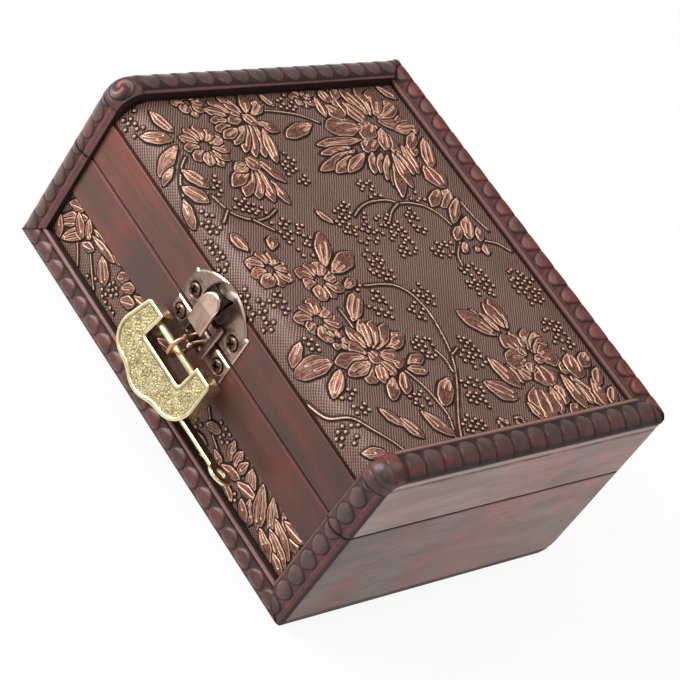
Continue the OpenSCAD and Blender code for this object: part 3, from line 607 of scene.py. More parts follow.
makeCamera()
makeWorld()
bpy.context.scene.view_settings.view_transform = "Standard"
print("stage: camera and light")


floorMesh = bpy.data.meshes.new("floor")
corners = [(-1, -1, 0), (1, -1, 0), (1, 1, 0), (-1, 1, 0)]
floorMesh.from_pydata(np.multiply(corners, lights["floorReach"]).tolist(), [], [(0, 1, 2, 3)])
floorMesh.materials.append(stageMaterial())
floorPiece = bpy.data.objects.new("floor", floorMesh)
bpy.context.scene.collection.objects.link(floorPiece)
areaLight("frontSoftbox", "softbox")
areaLight("overheadPanel", "top")

# Woods: dark, middle, red and worn colour, redness, wear, roughness, coat and grain direction
lidSideWood = woodMaterial("lidSideWood", (0.235, 0.155, 0.130), (0.42, 0.285, 0.242),
                           (0.46, 0.225, 0.188), (0.46, 0.22, 0.17), 0.75, 0.6, 0.36, 0.1, "y",
                           glow=(0.46, 0.33, 0.285), shine=0.3, loose=1.9, shadeAndToneDrift=(1.12, 0.92))
sideWood = woodMaterial("sideWood", (0.160, 0.104, 0.084), (0.300, 0.195, 0.158),
                        (0.34, 0.142, 0.115), (0.46, 0.22, 0.17), 0.8, 0.6, 0.36, 0.1, "y",
                        glow=(0.14, 0.035, 0.03), shine=0.3, loose=1.9, shadeAndToneDrift=(0.72, 1.4))
railWood = woodMaterial("railWood", (0.074, 0.039, 0.029), (0.146, 0.050, 0.035),
                        (0.185, 0.042, 0.029), (0.34, 0.075, 0.05), 0.6, 0.6, 0.30, 0.12,
                        glow=(0.40, 0.065, 0.045), loose=2.2, shine=0.25, shadeAndToneDrift=(1.05, 0.66))
innerWood = woodMaterial("innerWood", (0.045, 0.020, 0.014), (0.090, 0.040, 0.028),
                         (0.13, 0.04, 0.03), (0.2, 0.1, 0.07), 0.4, 0.4, 0.5, 0.1)
carved = carvedMaterial("carvedLacquer", 0.24, 0.3)
dullCarved = carvedMaterial("dullLacquer", 0.04, 0.12)
leather = leatherMaterial()
velvet = velvetMaterial()
metals = {  # metal, dark and bright colour, patina, roughness, bump, tooled or not
    "agedBronze": ((0.33, 0.235, 0.19), (0.075, 0.048, 0.038), (0.80, 0.60, 0.50), 0.8, 0.30),
    "rubbedCopper": ((0.78, 0.41, 0.25), (0.24, 0.10, 0.06), (0.95, 0.72, 0.56), 0.45, 0.26),
    "paleBrass": ((0.69, 0.585, 0.335), (0.16, 0.125, 0.052), (0.92, 0.84, 0.57), 0.5, 0.34,
                  0.35, True),
    "copperTongue": ((0.56, 0.41, 0.33), (0.16, 0.095, 0.07), (0.95, 0.62, 0.43), 0.45, 0.22),
    "screwBronze": ((0.115, 0.07, 0.055), (0.03, 0.018, 0.015), (0.42, 0.26, 0.19), 0.75, 0.3),
    "keyBrass": ((0.24, 0.175, 0.085), (0.07, 0.045, 0.02), (0.84, 0.74, 0.46), 0.6, 0.30),
    # painted shade: the tongue's frame and the pins get darker metals than the thumb, the plates and
    # the steel, for the shade they lie in
    "tongueFrame": ((0.17, 0.120, 0.100), (0.045, 0.03, 0.025), (0.52, 0.35, 0.28), 0.7, 0.3),
    "shadedPinMetal": ((0.16, 0.12, 0.10), (0.04, 0.03, 0.025), (0.40, 0.32, 0.27), 0.7, 0.34),
    "dullSteel": ((0.42, 0.38, 0.35), (0.12, 0.10, 0.09), (0.75, 0.70, 0.64), 0.6, 0.32),
}
bronze, copper, brass, copperWorn, screwMetal, keyBrass, shadedFrameMetal, shadedPinMetal, steel = (
    metalMaterial(name, *values) for name, values in metals.items())
print("stage: materials")


# Takes a CAD piece as it is and gives it another material
def repaint(name, material):
    nodes[name].data.materials.clear()
    nodes[name].data.materials.append(material)


boards = {"edgeR": 0.45, "step": 1.6, "backR": 5.0, "thick": 6.0, "rimBand": 0.5}
rails = {"r": 0.35, "thick": 1.5, "rimBand": 0.4}
jointRows = np.linspace(0.5, 1.2, 8)      # extra mesh rows under the lid joint, mm


# Masks at the lid joint, by the height z1 of the board's top: black at the edge, then a line
def jointDark(z, z1):
    return np.exp(-(np.minimum(z1 - z, 2) / 0.34) ** 4)


def jointLine(z, z1):
    return bell(z - (z1 - 0.7), 0.18)


# Slow, shallow unevenness of a hand-finished face
def uneven(x, z, amount):
    return amount * (np.sin(x * 0.19 + 1.3) * np.cos(z * 0.31 + 0.4)
                     + 0.5 * np.sin(x * 0.53 + z * 0.27))


# Turns a slab drawn in x and z so that its front faces +X (side 1) or -X (side -1)
def faceSideways(side, plane):
    return lambda p: np.stack([side * (plane - p[:, 1]), side * p[:, 0], p[:, 2]], 1)


# Slab that faces backwards, its front at y = plane
def faceBackwards(plane):
    return lambda p: np.stack([-p[:, 0], plane - p[:, 1], p[:, 2]], 1)


# Slab that faces forwards, its front at y = plane
def faceForwards(plane):
    return lambda p: p + (0, plane, 0)


# Side board of the base (low) or lid. Its outline is a rectangle with one rounded corner: at the
# back of the base, or under the bend at the front of the lid, whose face has a small ledge near the
# top, a light line above the ledge and a dark line of uneven strength below it
def sideBoard(side, low):
    r, backR = boards["edgeR"], boards["backR"]
    y0, y1 = box["seatY"], box["back"]
    z0, z1 = (0.0, box["baseTop"]) if low else (box["lidZ"], box["topSeat"])
    bend, seatR = box["bendY"], box["topSeat"] - box["bendZ"]

    def outline(x, z):
        y = side * x
        if low:
            corner = np.hypot(y - (y1 - backR), z - backR) - backR
            rounded = (y > y1 - backR) & (z < backR)
        else:
            corner = np.hypot(y - bend, z - box["bendZ"]) - seatR
            rounded = (y < bend) & (z > box["bendZ"])
        return np.where(rounded, corner, boxAt(y, z, y0, y1, z0, z1))

    def face(x, z, d):
        ledge = 0 if low else 0.16 * bell(z - (z1 - 2.0), 0.28)
        return roundOff(d, r) + 0.04 + uneven(x, z, 0.03) + ledge

    def lineMask(x, z, d):
        return 0.6 * jointLine(z, z1) if low else 0.7 * bell(z - (z1 - 1.1), 0.5)

    def darkMask(x, z, d):
        if low:
            return jointDark(z, z1)
        gaps = np.clip(0.9 + 0.5 * np.sin(0.31 * x) + 0.35 * np.sin(0.83 * x + 1.0), 0.35, 1)
        return gaps * bell(z - (z1 - 2.55), 0.30)

    ys, zs = spaced(y0, y1, boards["step"], r), spaced(z0, z1, 0.8, r)
    if low:
        ys = merged(ys, np.linspace(y1 - backR, y1, 14))
        zs = merged(zs, np.linspace(0, backR, 14), z1 - jointRows)
    else:
        ys = merged(ys, bend - seatR * np.cos(np.linspace(0, math.pi / 2, 9)))
        zs = merged(zs, z1 - 2.0 + np.linspace(-0.8, 0.8, 9))
    return slab(outline, ys if side > 0 else -ys[::-1], zs, face, boards["thick"],
                faceSideways(side, box["side"]), {"line": lineMask, "dark": darkMask},
                boards["rimBand"])


for side, name in ((-1, "left"), (1, "right")):
    addPiece(f"{name}BaseBoard", sideBoard(side, True), sideWood, "base",
             [f"base_{name}_side"])
    addPiece(f"{name}LidBoard", sideBoard(side, False), lidSideWood, "lid",
             [f"lid_{name}_side"])


# Rail over the front: a rectangle between two heights, dark along its top at the lid joint
def frontRail(z0, z1, joint):
    r, half, wave = rails["r"], box["fieldX"], 0.03
    zs = spaced(z0, z1, 0.8, r)
    return slab(lambda x, z: boxAt(x, z, -half, half, z0, z1), spaced(-half, half, 1.2, r),
                merged(zs, z1 - jointRows) if joint else zs,
                lambda x, z, d: roundOff(d, r) + wave + uneven(x, z, wave), rails["thick"],
                faceForwards(box["railY"]),
                {"line": lambda x, z, d: 0.7 * joint * jointLine(z, z1),
                 "dark": lambda x, z, d: joint * jointDark(z, z1)}, rails["rimBand"])


addPiece("baseRail", frontRail(box["railLow"], box["baseTop"], 1.0), railWood, "base",
         ["base_front_rail"])
addPiece("lidRail", frontRail(box["lidZ"], box["railTop"], 0.0), railWood, "lid",
         ["lid_front_rail"])
for name in ("floor_panel", "base_front_board", "lid_top_panel", "lid_front_board"):
    repaint(name, innerWood)
for name in ("base_back_board", "lid_back_board"):
    repaint(name, sideWood)
print("stage: boards and rails")


# Mouldings: height over the seat by the distance u from the outer edge
moulding = {
    "width": 8.2, "rise": 4.0, "edge": 1.0, "crest": 4.7, "bead": 1.6, "beadGap": 1.75,
    "bottomWidth": 8.8, "backWidth": 6.4, "endCrest": 1.7, "dome": 0.30, "across": 40,
    "along": 0.42,
}
scaleStyles = {  # places and sizes in mm, strengths from 0 to 1; the others add to "all"
    "all": {"outer": -99.0, "size": 1.0, "lean": 0.0, "deep": 0.26, "bandLift": 0.0, "lip": -1.0,
            "notch": 1.0, "foot": 0.35, "redWide": 1.3, "redness": 1.0, "tone": 1.0, "pale": 0.0,
            "paintedHighlightAt": 7.7, "rimLight": 0.0},
    "leftFront": {"pitch": 6.25, "start": 3.2, "inner": 6.1, "seed": 2.0, "redAt": 6.6,
                  "redWide": 1.0, "bandLift": 0.05, "tone": 0.4, "notch": 0.4},
    "rightFront": {"pitch": 6.5, "start": 1.1, "inner": 7.2, "outer": 1.6, "seed": 5.0,
                   "redAt": 0.9, "redWide": 0.8, "lip": 1.5, "size": 0.98, "deep": 0.14,
                   "notch": 0.45, "rimLight": 0.5, "tone": 0.7},
    "leftTop": {"pitch": 6.6, "start": -47.0, "inner": 7.2, "seed": 4.0, "redAt": 7.2,
                "redWide": 0.8, "bandLift": 0.1, "lean": 0.15},
    "rightTop": {"pitch": 6.6, "start": -47.0, "inner": 6.5, "seed": 1.0, "redAt": 1.7,
                 "redWide": 1.2, "bandLift": 0.1, "lean": 0.15, "foot": 0.7, "pale": 0.8,
                 "paintedHighlightAt": 7.6},
    "bottom": {"pitch": 6.75, "start": -67.5, "inner": 7.05, "outer": 1.7, "seed": 3.0,
               "redAt": 4.4, "redWide": 2.4, "redness": 0.35, "bandLift": 0.15, "lip": 1.6,
               "deep": 0.2, "tone": 0.1, "notch": 0.8, "rimLight": 0.4, "pale": 0.9,
               "paintedHighlightAt": 7.95, "size": 1.03},
    "back": {"pitch": 6.75, "start": -66.0, "inner": 4.464, "seed": 3.0, "redAt": 2.6,
             "redWide": 2.4, "redness": 0.9, "bandLift": 0.15, "notch": 0.45, "tone": 0.3,
             "rimLight": 0.35, "pale": 0.75, "paintedHighlightAt": 5.55},
}


# Arc of a circle from the edge's height up to the full rise at the crest
def arcProfile(u, crest=moulding["crest"], edge=moulding["edge"]):
    rise = moulding["rise"]
    sink = (rise ** 2 - edge ** 2 - crest ** 2) / (2 * (rise - edge))
    return sink + np.sqrt(np.maximum((rise - sink) ** 2 - (u - crest) ** 2, 0))


# Scales in a row: each is a strip across the moulding with a round end towards the inner edge.
# Gives the rule from u across and s along the moulding to the height over its profile and masks
def scales(kind):
    style = {**scaleStyles["all"], **scaleStyles[kind]}
    r, seed = style["pitch"] / 2, style["seed"]

    def carve(u, s):
        t = (s - style["start"]) / style["pitch"]
        k = np.floor(t)
        x = (t - k - 0.5) * style["pitch"]
        jitter = np.sin(k * 12.9898 + seed) * 0.5
        inner = style["inner"] + 0.25 * jitter
        q = np.maximum(np.maximum(u - (inner - r), style["outer"] + r - u), 0)
        d = np.hypot(x, q) - r * 0.985 * style["size"]
        depth = moulding["dome"] * (1 - np.exp(d / 0.55)) + 0.07 * jitter * np.tanh(x) \
            - style["lean"] * x / r
        height = np.where(d < 0, depth - 0.30, -0.30 - style["deep"] * (1 - np.exp(-d / 0.5)))
        height -= 0.16 * bell(d, 0.16)
        notch = np.where(d > 0, 1 - np.exp(-d / 0.22), 0) * bell(u - inner, 2.2)
        band = clamped((u - inner) / 0.5)
        height += band * (0.30 + style["bandLift"]) * clamped(d / 0.8)
        lip = clamped((style["lip"] - u) / 0.4)
        height += (0.1 - height) * lip
        # painted shade: black in the groove round each scale, in the notches and along the foot
        cutsAndShade = clamped(0.85 * bell(d, 0.24) + style["notch"] * notch * (1 - band)) * (1 - lip)
        cutsAndShade = np.maximum(cutsAndShade, 0.75 * bell(u, style["foot"]))
        joints = 0.35 + 0.65 * bell(r - np.abs(x), 0.9)
        reds = bell(u - style["redAt"], style["redWide"]) * joints * (1 - cutsAndShade) \
            * (0.6 + 0.4 * np.sin(k * 3.7 + seed)) * style["redness"]
        disc = clamped(-d / 0.3) * style["tone"]
        glint = bell(d + 0.5, 0.2) * (u > inner - 1.0)       # light line inside the rim
        # painted highlight: a pale band along the bead, and the light line inside the rims
        pale = style["pale"] * bell(u - style["paintedHighlightAt"], 0.45)
        pale = np.maximum(pale, style["rimLight"] * glint)
        return height, {"cut": cutsAndShade, "red": reds, "band": band, "disc": disc, "pale": pale}

    return carve


# Closed strip of moulding: along gives s by u and t (0 to 1 along the piece), place turns u, the
# height v and s into a point, and cap is the most that v may be at s
def carvedStrip(name, node, body, width, profile, carve, along, place, length, lacquer=carved,
                cap=lambda s: 99.0):
    us = np.linspace(0, width, moulding["across"])
    ts = np.linspace(0, 1, max(8, int(length / moulding["along"])))
    U, T = np.meshgrid(us, ts, indexing="xy")
    S = along(U, T)
    rise, masks = carve(U, S)
    fade = clamped(np.minimum(U, width - U) / 0.5)
    ends = np.minimum(T, 1 - T) * length
    masks["cut"] = np.maximum(masks["cut"], 0.9 * bell(ends, 0.35))
    # painted shade down the inner wall
    masks["cut"][:, -1] = 0.9
    V = np.minimum(np.maximum(profile(U) + rise * fade, 0.15), cap(S))
    zero = np.zeros((len(ts), 1))
    rings = place(np.concatenate([zero, U, zero + width], 1), np.concatenate([zero, V, zero], 1),
                  np.concatenate([S[:, :1], S, S[:, -1:]], 1))
    # painted shade: the walls get the cut mask, dark down to their foot
    for key, value in masks.items():
        foot = zero + (0.9 if key == "cut" else 0)
        masks[key] = np.concatenate([foot, value, foot], 1)
    addPiece(name, loft(rings, masks=masks), lacquer, body, [node], sharp=48.0)


# Mouldings up one side of the front: one on the base with a mitred foot, one on the lid
def frontMoulding(side, name):
    w, baseZ = moulding["width"], box["bottomTop"] / moulding["width"]
    for part, z0, z1, mitre in (("Base", 0.0, box["baseTop"], baseZ),
                                ("Lid", box["lidZ"], box["bendZ"], 0.0)):
        carvedStrip(f"{name}Front{part}Carving", f"{part.lower()}_{name}_moulding", part.lower(),
                    w, arcProfile, scales(name + "Front"),
                    lambda u, t: z0 + mitre * u + t * (z1 - z0 - mitre * u),
                    lambda u, v, s: np.stack([side * (box["side"] - u), box["seatY"] - v, s], -1),
                    z1 - z0)


# Moulding along one side of the top, mitred at the back
def topMoulding(side, name):
    mitre = (box["back"] - box["fieldBackY"]) / moulding["width"]
    end = moulding["endCrest"]
    carvedStrip(f"{name}TopCarving", f"{name}_top_moulding", "lid", moulding["width"],
                lambda u: np.where(u < moulding["crest"], arcProfile(u), arcProfile(u, edge=1.3)),
                scales(name + "Top"),
                lambda u, t: box["bendY"] + t * (box["back"] - mitre * u - box["bendY"]),
                lambda u, v, s: np.stack([side * (box["side"] - u), s, box["topSeat"] + v], -1),
                box["back"] - box["bendY"],
                cap=lambda s: np.where(box["back"] - s < end, arcProfile(box["back"] - s, end), 9))


# Bend over a front corner: a round boss with a groove round it, swirled on the left
def bendMoulding(side, name):
    def carve(u, s):
        angle = s - math.pi / 4
        x, y = u - 4.5, angle * 6.4
        r = np.hypot(x, y)
        boss = 0.36 * clamped(1 - (r / 3.3) ** 4)
        if side > 0:
            r = np.hypot(np.maximum(np.abs(x) - 2.1, 0), (y + 0.3) * 1.7)
            boss = 0.34 * clamped(1 - (r / 3.2) ** 2) ** 0.7
        ring = bell(r - 3.35, 0.3)
        height = boss - (0.26 if side < 0 else 0.12) * ring - 0.12
        # painted shade in the groove round the boss
        cutsAndShade = (0.65 if side < 0 else 0.4) * ring
        reds = bell(r, 1.2) if side < 0 else 0.5 * bell(u - 7.3, 0.6)
        pale = 0.0 * r
        if side < 0:
            swirl = np.sin(2 * np.arctan2(y, x) + r * 1.9)
            height = height + 0.2 * swirl * clamped(2 - r / 1.6)
            # painted shade in the swirl's troughs and painted highlight on its crests
            cutsAndShade = cutsAndShade + 0.8 * clamped(-1.6 * swirl - 0.6) * (r < 3.1)
            pale = 0.7 * clamped(swirl) * (r < 3.1)
        return height, {"cut": cutsAndShade, "red": reds, "band": 0.0 * r, "disc": 1.0 * (r < 3.3),
                        "pale": pale}

    seatR = box["topSeat"] - box["bendZ"]
    carvedStrip(f"{name}CornerCarving", f"{name}_corner_moulding", "lid", moulding["width"],
                arcProfile, carve, lambda u, t: t * math.pi / 2 + 0 * u,
                lambda u, v, s: np.stack([side * (box["side"] - u),
                                          box["bendY"] - (seatR + v) * np.cos(s),
                                          box["bendZ"] + (seatR + v) * np.sin(s)], -1), 18.0)


# Moulding with a bead along its inner edge, mitred at both ends: the bottom one of the front,
# or the one along the back of the top
def beadedMoulding(kind):
    w, bead = moulding[kind + "Width"], moulding["bead"]
    mitre = (box["side"] - box["fieldX"]) / w
    scaled = scales(kind)

    def carve(u, s):
        height, masks = scaled(u, s)
        keep = clamped((w - moulding["beadGap"] - u) / 0.3)       # the bead stays smooth
        groove = bell(u - (w - bead), 0.16)
        # painted shade in the groove beside the bead
        masks["cut"] = np.maximum(masks["cut"] * keep, groove * 0.7)
        masks["red"] = masks["red"] * keep
        return height * keep - 0.2 * groove, masks

    # Domed band with a narrow round bead along its inner edge
    def bottomProfile(u):
        band, r = w - bead, bead / 2
        low = arcProfile(np.minimum(u, band), moulding["crest"] * band / moulding["width"])
        return np.where(u > band, 2.0 + np.sqrt(np.maximum(r * r - (u - (w - r)) ** 2, 0)), low)

    # At the back the band climbs outwards from a low bead and a thin line beside it
    def backProfile(u):
        end = moulding["endCrest"]
        t = clamped((u - end) / 3.1)
        band = np.where(u < end, arcProfile(u, end), 1.1 + 2.9 * np.cos(t * math.pi / 2) ** 0.9)
        low = 0.6 + np.sqrt(np.maximum(0.64 - (u - 5.6) ** 2, 0))
        return np.where(u > 4.8, low, band) + 0.22 * bell(u - 4.45, 0.2)

    def endCap(s):
        inward = box["side"] - np.abs(s) + 0.4
        return np.where(inward < moulding["crest"], arcProfile(inward), 9)

    along = lambda u, t: (2 * t - 1) * (box["side"] - mitre * u)
    if kind == "bottom":
        carvedStrip("frontBottomCarving", "front_bottom_moulding", "base", w, bottomProfile, carve,
                    along, lambda u, v, s: np.stack([s, box["seatY"] - v, u], -1),
                    2 * box["side"])
    else:
        carvedStrip("backTopCarving", "back_top_moulding", "lid", w, backProfile, carve, along,
                    lambda u, v, s: np.stack([s, box["back"] - u, box["topSeat"] + v], -1),
                    2 * box["side"], dullCarved, endCap)


for side, name in ((-1, "left"), (1, "right")):
    frontMoulding(side, name)
    topMoulding(side, name)
    bendMoulding(side, name)
beadedMoulding("bottom")
beadedMoulding("back")
print("stage: mouldings")


# Leather: places in mm on the flat sheet, x across and s from the front edge or the ground up.
# Petals and leaves are rows of x, s (base), x, s (tip), width
sheetForm = {
    "noseR": 8.2, "noseY": -44.4, "noseZ": 50.5, "step": 0.40, "rise": 0.46, "groove": 0.16,
    "thick": 0.6, "full": 1.3, "berryR": 0.5, "berryRise": 0.42, "berryPitch": 1.95,
    "berryJitter": 0.36, "seed": 7, "frontStep": 0.3, "frontY": -52.3,
}
flowers = [  # centre x, s, petals, inner and outer radius, petal width, first angle
    (-43.9, 20.6, 11, 1.9, 8.0, 3.3, 10), (-60.0, 24.8, 8, 1.2, 5.6, 3.0, 0),
    (5.4, 27.5, 8, 1.6, 7.0, 4.0, 12), (17.7, 17.9, 8, 1.6, 7.0, 4.0, 30),
    (-0.6, 13.8, 8, 1.4, 6.6, 3.6, 5), (41.5, 81.6, 3, 1.2, 5.0, 3.0, 200),
    (59.5, 62.0, 5, 0.5, 2.0, 1.6, 0), (59.4, 55.5, 5, 0.5, 2.2, 1.8, 30),
    (-58.5, 67.2, 7, 0.8, 4.2, 2.6, 0), (24.8, 19.6, 6, 0.8, 3.6, 2.2, 20),
]
petals = np.reshape([
    # Large open flower at the back left
    -47.5, 90, -45, 102.5, 6,  -48.5, 91, -54.5, 102, 5.2,  -49.5, 91, -60.5, 96.5, 5,
    -49.5, 89, -61.5, 90.5, 3.4,  -50, 88, -61.5, 84.5, 4.2,  -44, 94, -43.5, 104.5, 4.2,
    -40, 98, -33, 92.8, 3.6,  -42.5, 101, -36, 94.5, 3.2,  -40.5, 103.5, -28, 97.5, 4,
    -38.5, 92.5, -26.5, 91.2, 3.6,  -44, 90.5, -33, 88.2, 3.2,  -36, 88.6, -26.2, 88.8, 2.8,
    -30, 95.8, -20.6, 96.6, 6.4,  -20.4, 98.5, -13.6, 90.4, 4.2,  -20.8, 94.5, -14.2, 86.6, 3.2,
    -17, 99.2, -7.4, 90.2, 3.2,  -9.8, 97.6, -1.2, 91.4, 3.8,  -6.6, 92.2, -1.6, 86.3, 2.8,
    -5.6, 98.8, 0, 95.4, 2.6,  -46.5, 88.5, -36.6, 76.4, 5,  -45.5, 89.5, -36.2, 84.8, 3.6,
    -47.6, 87, -41.8, 80, 5.4,  -46.2, 82, -46.6, 68.2, 6.4,  -41.2, 79.5, -41, 60, 3.2,
    -38.8, 73, -37.5, 59, 2.6,  -38, 74, -31.4, 54.6, 3.4,  -36.4, 73, -30, 60, 3.4,
    -36.8, 76.5, -29.6, 64.6, 3.2,  -36.8, 79.5, -28.2, 74, 2.8,  -36.2, 83, -28.2, 76.3, 2.5,
    -35.4, 84.8, -25.4, 76.8, 2.5,  -33, 85.6, -23, 77.8, 2.4,  -35.2, 87.2, -18.4, 78, 3.4,
    -36, 86.6, -21.6, 84.8, 3.4,  -56, 81.4, -47.4, 85.8, 5,  -61.8, 79.6, -50.2, 79, 3.2,
    -55.8, 74.6, -49.2, 77.4, 4.8,  -61.8, 76.4, -56, 76.2, 3.6,  -59, 72.2, -50.6, 71.4, 2.8,
    -61.8, 83, -57.2, 79.6, 3,  -49.2, 64.6, -44.3, 51.2, 4,  -61.6, 52.2, -56.2, 55.2, 2.4,
    -61.5, 99.5, -55.5, 104.5, 3.2,
    # Flower and large petals at the back right
    30.8, 81.4, 19.4, 82.6, 4,  30.6, 80.6, 20.6, 79, 3.2,  31.2, 78.2, 23.6, 75, 2.8,
    28.8, 74.6, 21.8, 72.8, 1.9,  32.2, 75.6, 21.8, 67.4, 5,  38.6, 83, 31.4, 88.2, 4.2,
    39.6, 83.6, 33.2, 91.8, 3.4,  40.2, 84.2, 35.8, 93, 3.2,  41.8, 84.8, 41.6, 92.6, 6.2,
    43.6, 92.2, 48.6, 91, 3,  39.6, 82, 31.2, 80.8, 3.2,  39.2, 79.2, 32, 77.2, 5.2,
    41, 80.2, 41.2, 72.2, 6.4,  43.8, 74.2, 47.8, 76.8, 4.2,  43.6, 82, 51.2, 82.8, 7.6,
    41.4, 71, 48.8, 73, 2.2,  38, 66.2, 49.8, 71, 4.4,  45.4, 58.8, 52.6, 67.4, 5.4,
    41.8, 97.6, 50.4, 94.2, 5.8,  42.6, 104.5, 47, 98.6, 3.8,  49, 91.4, 60.8, 95.8, 4.2,
    51.2, 91.6, 59.6, 92.8, 2.8,  47.6, 88.6, 61, 89.6, 3.6,  50.4, 99.4, 61, 97, 3.4,
    48, 104.5, 54, 99.2, 3.2,  55, 104.8, 60.5, 99.6, 3.2,  51, 85.2, 57.6, 80.2, 4.8,
    50.6, 81.6, 60.6, 78.8, 3.4,  50, 75.6, 61.2, 73.6, 8.6,  54.2, 69, 61, 70.8, 2.4,
    58, 87, 61.2, 82.4, 3,  -1, 90.2, 3.2, 85.8, 2.2,  0.8, 96, 5.2, 94.2, 2.4,
    1.2, 93.2, 3.4, 91.2, 1.8,
    # Chrysanthemum and daisy at the front left
    -52, 42.6, -37.6, 38.8, 3.4,  -51.4, 41.4, -38.2, 35.4, 3.2,  -50.8, 40.4, -40.2, 32.6, 3,
    -50.4, 39.6, -43.4, 30.8, 2.8,  -54.4, 41.4, -62, 36.8, 3.6,  -54, 40.6, -58.4, 35.4, 3.2,
    -53.2, 40.2, -55, 34.8, 2.8,  -52.4, 39.8, -51.8, 34, 2.8,  -54.8, 37.2, -60, 31.8, 3.2,
    -54, 35.6, -57.2, 28.8, 3.2,  -52.4, 34.6, -52.8, 28.2, 3,  -50.6, 34.6, -49.2, 27.8, 3,
    -49.6, 36.2, -46, 28.8, 3,  -53.2, 43.8, -58.8, 50.6, 3.8,  -54.2, 42.8, -62, 46.2, 3.2,
    -51.2, 44.2, -46.8, 50.4, 3.4,  -49, 45.4, -35.6, 41, 3.4,  -54.6, 41.2, -49.8, 43.8, 3.8,
    -37.6, 34.8, -28.6, 39.8, 3.2,  -30.2, 34.6, -21, 35.9, 3,  -58.4, 10.2, -49.6, 13.2, 3.4,
    -53.2, 4, -46.8, 11.2, 3.4,  -45.2, 11.8, -39.6, 2, 3.6,  -38, 8.2, -29.2, 12.2, 3.4,
    -33.4, 5.6, -25, 9.6, 3.2,  -39.8, 7.2, -36.8, 1.6, 2.4,  -30.4, 4.4, -20.6, 2.4, 2.8,
    -35.2, 33.2, -22.2, 30.8, 4,  -35.2, 32.2, -24, 26.2, 4,  -35.8, 31.4, -25.2, 22.2, 3.6,
    -36.4, 31.2, -29, 20.2, 3.6,  -37, 31.4, -34.2, 24.8, 3.4,  -38.6, 31, -34.6, 34.6, 4.6,
    # Leaves over the three flowers in the middle
    3.6, 33.2, -2.6, 45.4, 4.4,  1.8, 31.6, -10.6, 39.8, 4.2,  19.9, 28.6, 11, 37.4, 4.2,
    9.2, 33.8, 6.4, 40.2, 2.6,  -6.4, 18.6, -11.4, 22.4, 3,  -7.2, 11.2, -14.2, 9.4, 3,
    # Chrysanthemum at the front right
    30.4, 29.6, 26, 43.2, 4.4,  29.8, 29.6, 22.2, 39.8, 3.6,  29.4, 29, 20.4, 35.6, 3.4,
    29, 28.4, 19.4, 31.8, 3.4,  29, 27.4, 21, 25.2, 3.6,  30.2, 26.4, 27, 20.8, 4.2,
    31.6, 30, 34.4, 37.2, 5.4,  33.2, 28.8, 38.4, 31, 4.4,  33.4, 27, 39.2, 19.8, 4.4,
    31.8, 25.8, 31.4, 13.6, 4.8,  32.8, 26, 36, 15.2, 3.6,  33.4, 27.8, 40.6, 25.4, 3.6,
    29.8, 26.8, 33.6, 29.2, 4.2,  35.8, 37, 34, 44.6, 3.2,  36.8, 35.8, 39.2, 42.6, 3,
    37.6, 34.2, 44.8, 29.6, 3.2,  38.6, 29.6, 45.8, 23.8, 3.4,  30.8, 13.8, 29.6, 2, 5.4,
    33.2, 14.2, 41, 7.2, 3.4,  50.2, 30.6, 59.8, 36.2, 4,  42, 48.4, 50.2, 39.2, 4.2,
    50.6, 22, 58.6, 25.6, 3.6,  47, 17.6, 53.6, 21.4, 3,  57, 5, 61, 11, 3,  22.2, 8.6, 27.6, 3, 3,
    -12.6, 46.4, -18, 43, 2.6,
], (-1, 5))
stems = [
    [(-27, 11.5), (-21, 13.5), (-18, 17.3), (-17, 21.5), (-17.8, 25.6), (-19.7, 29.4)],
    [(-17.2, 19.6), (-13, 24.2)], [(-21.4, 13.2), (-18, 9.8)],
    [(-40.9, 11.5), (-38, 8.5), (-34, 6), (-30, 4.6)],
    [(9, 41.5), (9.4, 48), (10.6, 52.4), (14.0, 55.8), (20.5, 57.4), (28.4, 56.6), (36.4, 54.2),
     (43.4, 50.2), (50.3, 45), (55.4, 41.2), (60.6, 38)],
    [(37.7, 35), (40.6, 36.5), (44.8, 38), (49.8, 38.7), (54, 38.7), (60.6, 36)],
    [(33, 50.2), (36.4, 51.3), (40.8, 50.9)], [(33.6, 58.4), (35.3, 55)],
    [(36.8, 0.4), (43.9, 3.1), (47.7, 8.3), (53, 11.5), (57.3, 14.8), (60.6, 16.7)],
    [(-7.3, 89.1), (-11.8, 87.2), (-15.1, 83.8), (-16.8, 79), (-17.2, 75), (-18.6, 71.8),
     (-18.9, 66.8), (-18.2, 62.6), (-16.6, 58.8), (-14.6, 55.8)],
    [(-17, 74.8), (-14.7, 70.6), (-11.2, 66.9)],
    [(-49, 67.3), (-52.2, 62.3), (-53.8, 57), (-54.8, 52), (-55.2, 48)],
    [(-16, 99.2), (-9, 100.1), (-3.5, 101.8)], [(-1, 87.6), (3.5, 83.2), (7.2, 82)],
    [(0, 97.6), (1.5, 101.4), (4.8, 104.6)], [(15.2, 27.5), (21.6, 27.7)],
]
